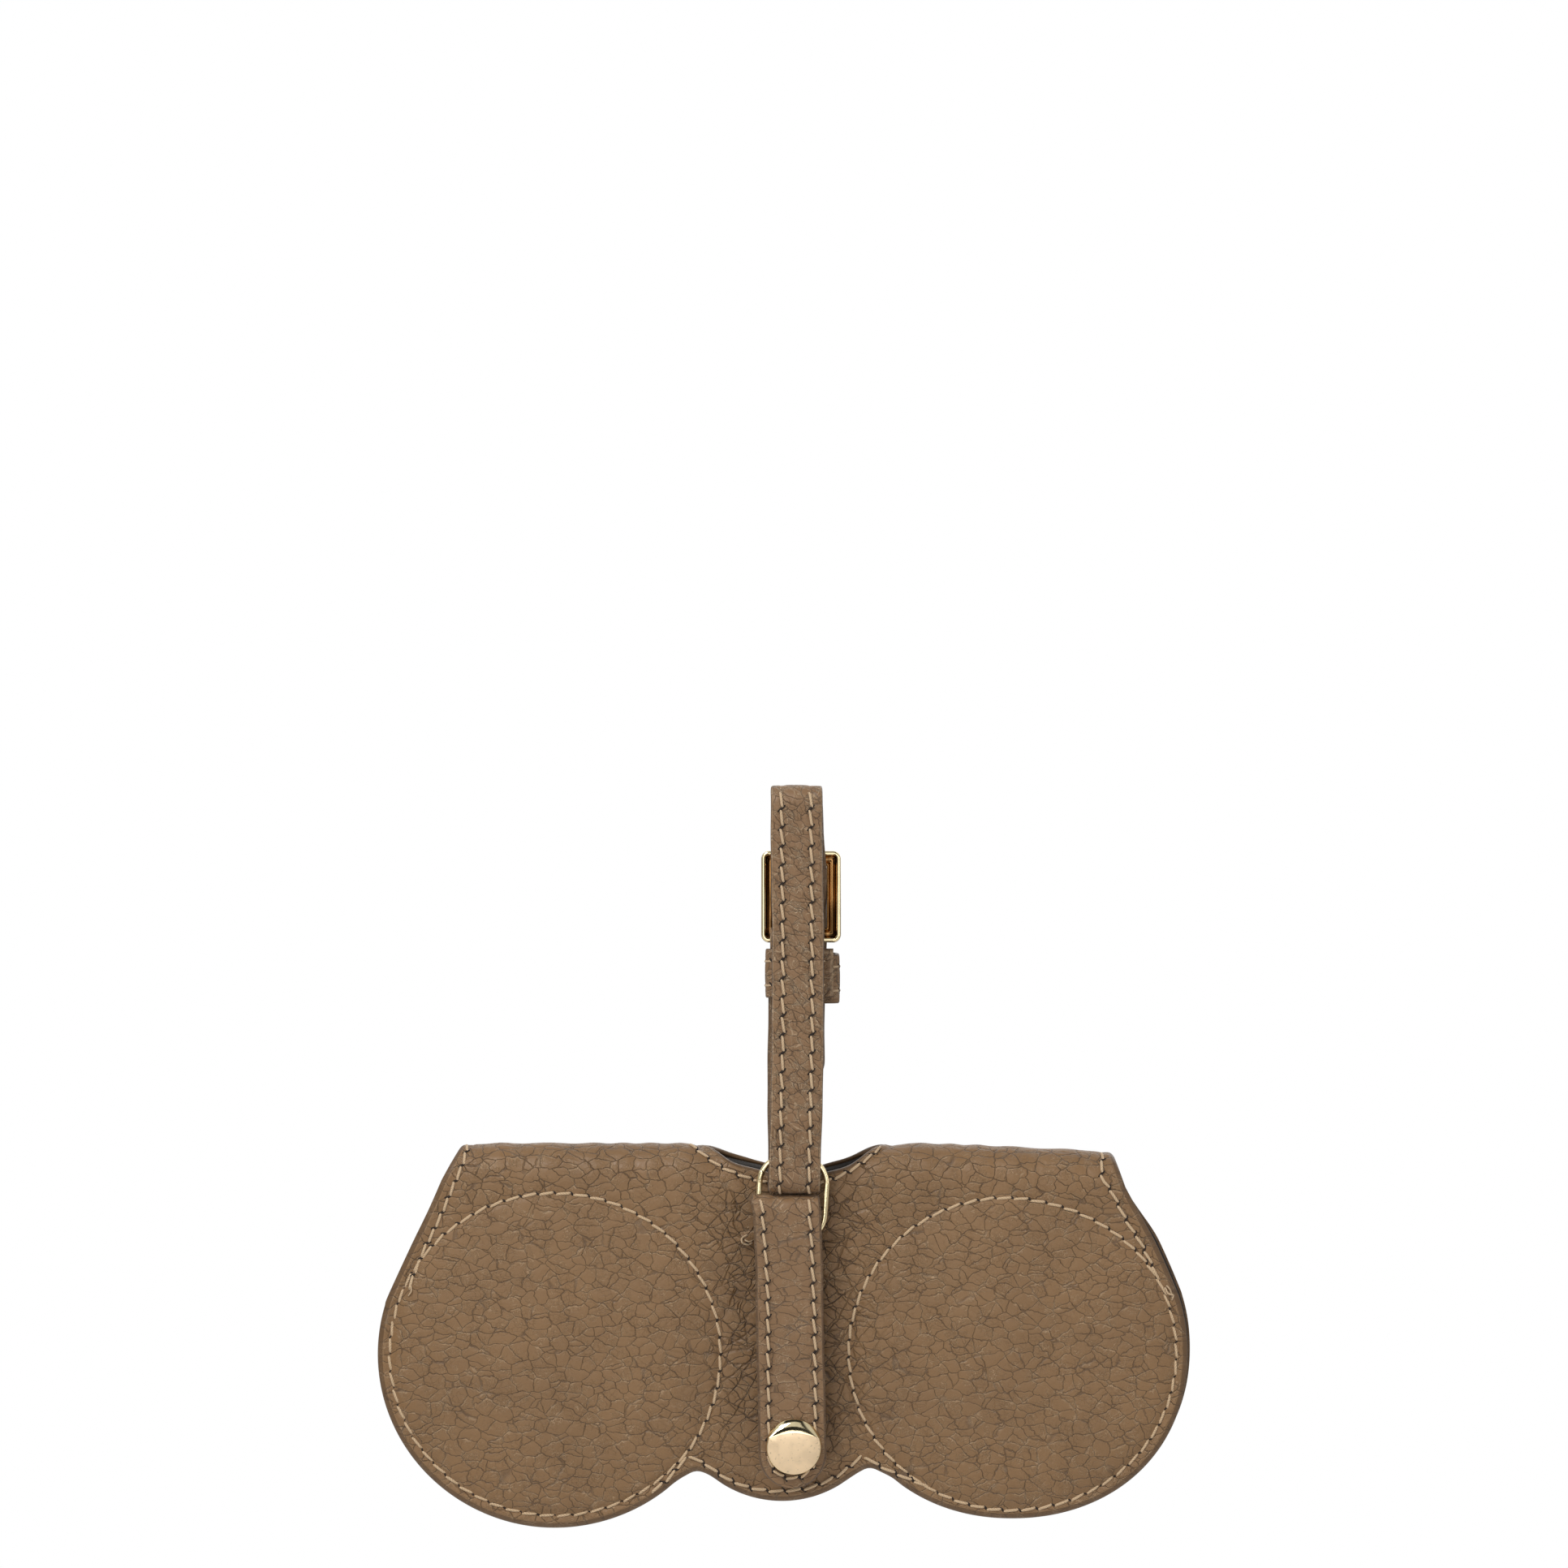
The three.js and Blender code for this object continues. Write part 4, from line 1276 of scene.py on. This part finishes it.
def build_keeper():
    """A band that starts at the front right, goes round the strap and ends behind its start, lower down."""
    low, high = KEEPER_LOW, KEEPER_HIGH
    left, right, back = low[0] + 1.3, high[0] + 0.25, high[1] - 0.45
    front, under, r = low[1] - 0.5, low[1] + 0.55, 1.3

    def corner(cx, cy, start, end):
        return circle(cx, cy, r, start, end, 8)

    line = [(high[0] - 0.45, front), (5.0, front)]
    line += corner(left + r, front + r, 270, 180) + corner(left + r, back - r, 180, 90)
    line += corner(right - r, back - r, 90, 0) + corner(right - r, under + r, 0, -90)
    line += [(5.4, under), (4.2, under)]
    line = resample(line, 0.4)
    along = lengths(line)
    step = headings(line)
    side = columns(-step[:, 1], step[:, 0], 0)
    middle_z = np.interp(along, (0, 13, 20, 34, 46), (-33.9, -33.95, -34.2, -35.0, -35.1))
    centres = columns(*line.T, middle_z)
    up = np.tile([0, 0, 1.0], (len(line), 1))
    h, t, rr = 4.7, 0.48, 0.35
    section, edge = [], []
    for a in np.linspace(-1, 1, 17):
        v = a * (h - rr)
        section.append((t + 0.12 * (1 - a * a) - 0.1 * bell(abs(v) - 2.3, 0.5), v))
        edge.append(0.0)
    outer_turns, inner_turns = (18, 36, 54, 72), (72, 36)
    corners = (
        (1, 1, outer_turns), (-1, 1, inner_turns), (-1, -1, inner_turns[::-1]), (1, -1, outer_turns[::-1])
    )
    for sx, sz, turns in corners:
        for q in turns:
            c, d = math.cos(math.radians(q)), math.sin(math.radians(q))
            section.append((sx * (t - rr + rr * c), sz * (h - rr + rr * d)))
            edge.append(1.0)
    section = np.array(section)
    # the band's cut ends are thinned a little
    taper = np.interp(np.arange(len(line)), (0, 1, 2, len(line) - 3, len(line) - 1), (0.72, 0.92, 1, 1, 0.7))
    sections = np.repeat(section[None], len(line), axis=0)
    sections[..., 0] *= taper[:, None]
    flat = [(v, s, 11.0) for s in along for _, v in section]
    zero = np.zeros(len(flat))
    # the cut end's first 0.6 mm gets the lighter edge line, part burnish and part painted highlight
    end_burnish_and_highlight = np.where(along < 0.6, 0.45, 0)[:, None]
    paint = np.minimum(np.array(edge)[None] + end_burnish_and_highlight, 1)
    attributes = {"flat": flat, "edge": paint.ravel() * 0.85, "lens": zero, "pinch": zero}
    band = swept("keeper_band", centres, side, up, sections, FINE, False, attributes)
    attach(band, "keeper")
    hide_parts("keeper_loop")
    st = Stitching()
    for k, v in enumerate((2.3, -2.3)):
        rim = centres + side * (t - 0.1) + up * v
        keep = slice(3, int(len(rim) * 0.97))
        st.row(rim[keep], side[keep], STRAP_STITCH, slant=0.1, seed=50 + k, radius=0.22)
    st.build("keeper", "keeper", "keeper_thread_upper", "keeper_thread_lower")


def build_snap():
    """The button's satin face sits low on it, so its polished bevel is widest at the top."""
    r, back, front = (CAP_HIGH[0] - CAP_LOW[0]) / 2, CAP_HIGH[1], CAP_LOW[1] - 0.2
    x, z = SNAP[0], SNAP[2] + 0.95
    face_drop, segments = -1.0, 120
    turns = np.linspace(0, 2 * math.pi, segments, endpoint=False)
    circle_xz = columns(np.cos(turns), np.sin(turns))
    # the face fills the button but for a shallow arc at its top
    inner = (r - 0.22) * circle_xz
    brow = 2.75 - 0.04 * inner[:, 0] ** 2
    over = np.maximum(inner[:, 1] - brow, 0)
    inner[:, 1] -= over
    outer = r * circle_xz
    base = back + 0.04
    rows = [(outer * 0.2, base), (outer * 0.96, base), (outer, back - 0.1)]
    deep = back - front - 0.25
    for share in np.linspace(0.03, 1.0, 14) ** 1.3:
        down = (0.25 * (1 - share) + 0.38 * (1 - share) ** 2.5) / 0.63
        rows.append((outer + (inner - outer) * share, front + deep * down))
    verts = [(x + u, y, z + v) for ring, y in rows for u, v in ring] + [(x, base, z)]
    last = (len(rows) - 1) * segments
    faces = grid_faces(len(rows), segments, False)
    faces += [(len(verts) - 1, (k + 1) % segments, k) for k in range(segments)]
    faces.append(tuple(range(last, last + segments)))
    bevel = new_object("snap_cap_bevel", verts, faces, GOLD)
    rings = [(0.999, 0.0), (0.985, -0.05), (0.96, -0.07), (0.7, -0.1), (0.4, -0.12), (0.15, -0.125)]

    def face_ring(share, y):
        return [(x + share * u, y, z + face_drop + share * (v - face_drop)) for u, v in inner]

    verts = [point for share, rise in rings for point in face_ring(share, front + 0.02 + rise)]
    verts.append((x, front - 0.105, z + face_drop))
    verts += face_ring(0.9, front + 0.3)
    m = len(rings) * segments
    faces = grid_faces(len(rings), segments, False)
    faces += [(m, m - segments + k, m - segments + (k + 1) % segments) for k in range(segments)]
    faces += [(k, (k + 1) % segments, m + 1 + (k + 1) % segments, m + 1 + k) for k in range(segments)]
    faces.append(tuple(range(m + 1, m + 1 + segments)))
    face = new_object("snap_cap_face", verts, faces, SATIN)
    for obj in (face, bevel):
        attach(obj, "tab_flap")
    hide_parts("snap_cap")


build_ring()
build_buckle()
build_keeper()
build_snap()
for node in ("snap_socket", "snap_stud", "stud_eyelet", "tab_rivet"):
    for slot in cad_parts[node].material_slots:
        slot.material = STEEL


# ---- studio ----
def area_light(name, place, aim, size, watts):
    data = bpy.data.lights.new(name, "AREA")
    data.shape = "RECTANGLE"
    data.size, data.size_y = size
    data.energy = watts
    obj = bpy.data.objects.new(name, data)
    obj.location = place
    obj.rotation_euler = (Vector(aim) - Vector(place)).to_track_quat("-Z", "Y").to_euler()
    bpy.context.scene.collection.objects.link(obj)


def build_floor():
    m = Nodes("pale_floor")
    paint = m.mix(m.noise(m.place(), 3.0), srgb(238, 237, 235), srgb(243, 242, 240))
    m.set(Base_Color=paint, Roughness=0.8)
    reach, behind, level = 12000, 2800, -520
    corners = ((-reach, -reach), (reach, -reach), (reach, behind), (-reach, behind))
    verts = [(x, y, level) for x, y in corners]
    new_object("floor", verts, [(0, 1, 2, 3)], m.material, solid=False)


def build_lights():
    target = (0, 0, -0.08)
    area_light("key", (-0.4, -0.62, 0.8), target, (0.45, 0.35), 7.5)
    area_light("fill", (0.85, -0.9, 0.2), target, (0.3, 0.7), 1.6)
    area_light("front", (-0.2, -1.8, 0.2), target, (1.3, 0.8), 5.7)
    area_light("rear", (0.2, 1.0, 0.3), target, (0.9, 0.7), 2.6)


def build_world():
    """The room that the metal mirrors. The camera sees plain white."""
    world = bpy.data.worlds.new("studio")
    bpy.context.scene.world = world
    world.use_nodes = True
    room = Nodes(tree=world.node_tree)
    split = room.node("ShaderNodeSeparateXYZ", {0: room.node("ShaderNodeTexCoord")}).node
    x, y, z = split.outputs
    # bright above, dim below and ahead
    height = room.node("ShaderNodeMapRange", {"Value": z, "From Min": -1.0})
    shades = room.node("ShaderNodeValToRGB", {0: height})
    stops = shades.node.color_ramp.elements
    stops[0].color, stops[0].position = (0.3, 0.28, 0.26, 1), 0.3
    stops[1].color, stops[1].position = (0.9, 0.9, 0.9, 1), 0.7
    for position in (0.5, 0.62):
        stops.new(position).color = (0.24, 0.24, 0.24, 1)
    # a pale card on either side, and a dark one overhead with a lamp in it
    aside = room.math("ABSOLUTE", x)
    ahead = room.step(y, 0.0, 0.15, 1.0, 0.0)
    overhead = room.times(room.step(aside, 0.3, 0.4, 1.0, 0.0), room.step(z, 0.26, 0.32))
    lamp = room.times(room.step(z, 0.62, 0.65), room.step(z, 0.88, 0.91, 1.0, 0.0))
    lamp = room.times(room.times(lamp, room.step(aside, 0.17, 0.24, 1.0, 0.0)), ahead)
    colour = room.mix(room.step(aside, 0.5, 0.7, 0.0, 0.5), shades, (0.9, 0.88, 0.84, 1))
    colour = room.mix(room.times(overhead, ahead), colour, (0.03, 0.03, 0.03, 1))
    colour = room.mix(lamp, colour, (1, 1, 1, 1))
    seen = room.node("ShaderNodeBackground", {"Color": (1, 1, 1, 1)})
    lit = world.node_tree.nodes["Background"]
    room.put(lit.inputs["Color"], colour)
    room.put(lit.inputs["Strength"], 0.63)
    camera_ray = room.node("ShaderNodeLightPath")
    surface = room.node("ShaderNodeMixShader", {0: camera_ray, 1: lit.outputs[0], 2: seen})
    room.put(world.node_tree.nodes["World Output"].inputs["Surface"], surface)


def build_camera():
    data = bpy.data.cameras.new("camera")
    data.sensor_width = 36
    reach, view_width = 1.2, 0.2995  # metres from the front face, and the width of the view there
    x, z = -0.00186, 0.00215
    data.lens = data.sensor_width * reach / view_width
    obj = bpy.data.objects.new("camera", data)
    obj.location = (x, FACE_Y * MM - reach, z)
    obj.rotation_euler = (math.pi / 2, 0, 0)
    bpy.context.scene.collection.objects.link(obj)
    bpy.context.scene.camera = obj


build_floor()
build_lights()
build_world()
build_camera()
bpy.context.scene.view_settings.view_transform = "Standard"
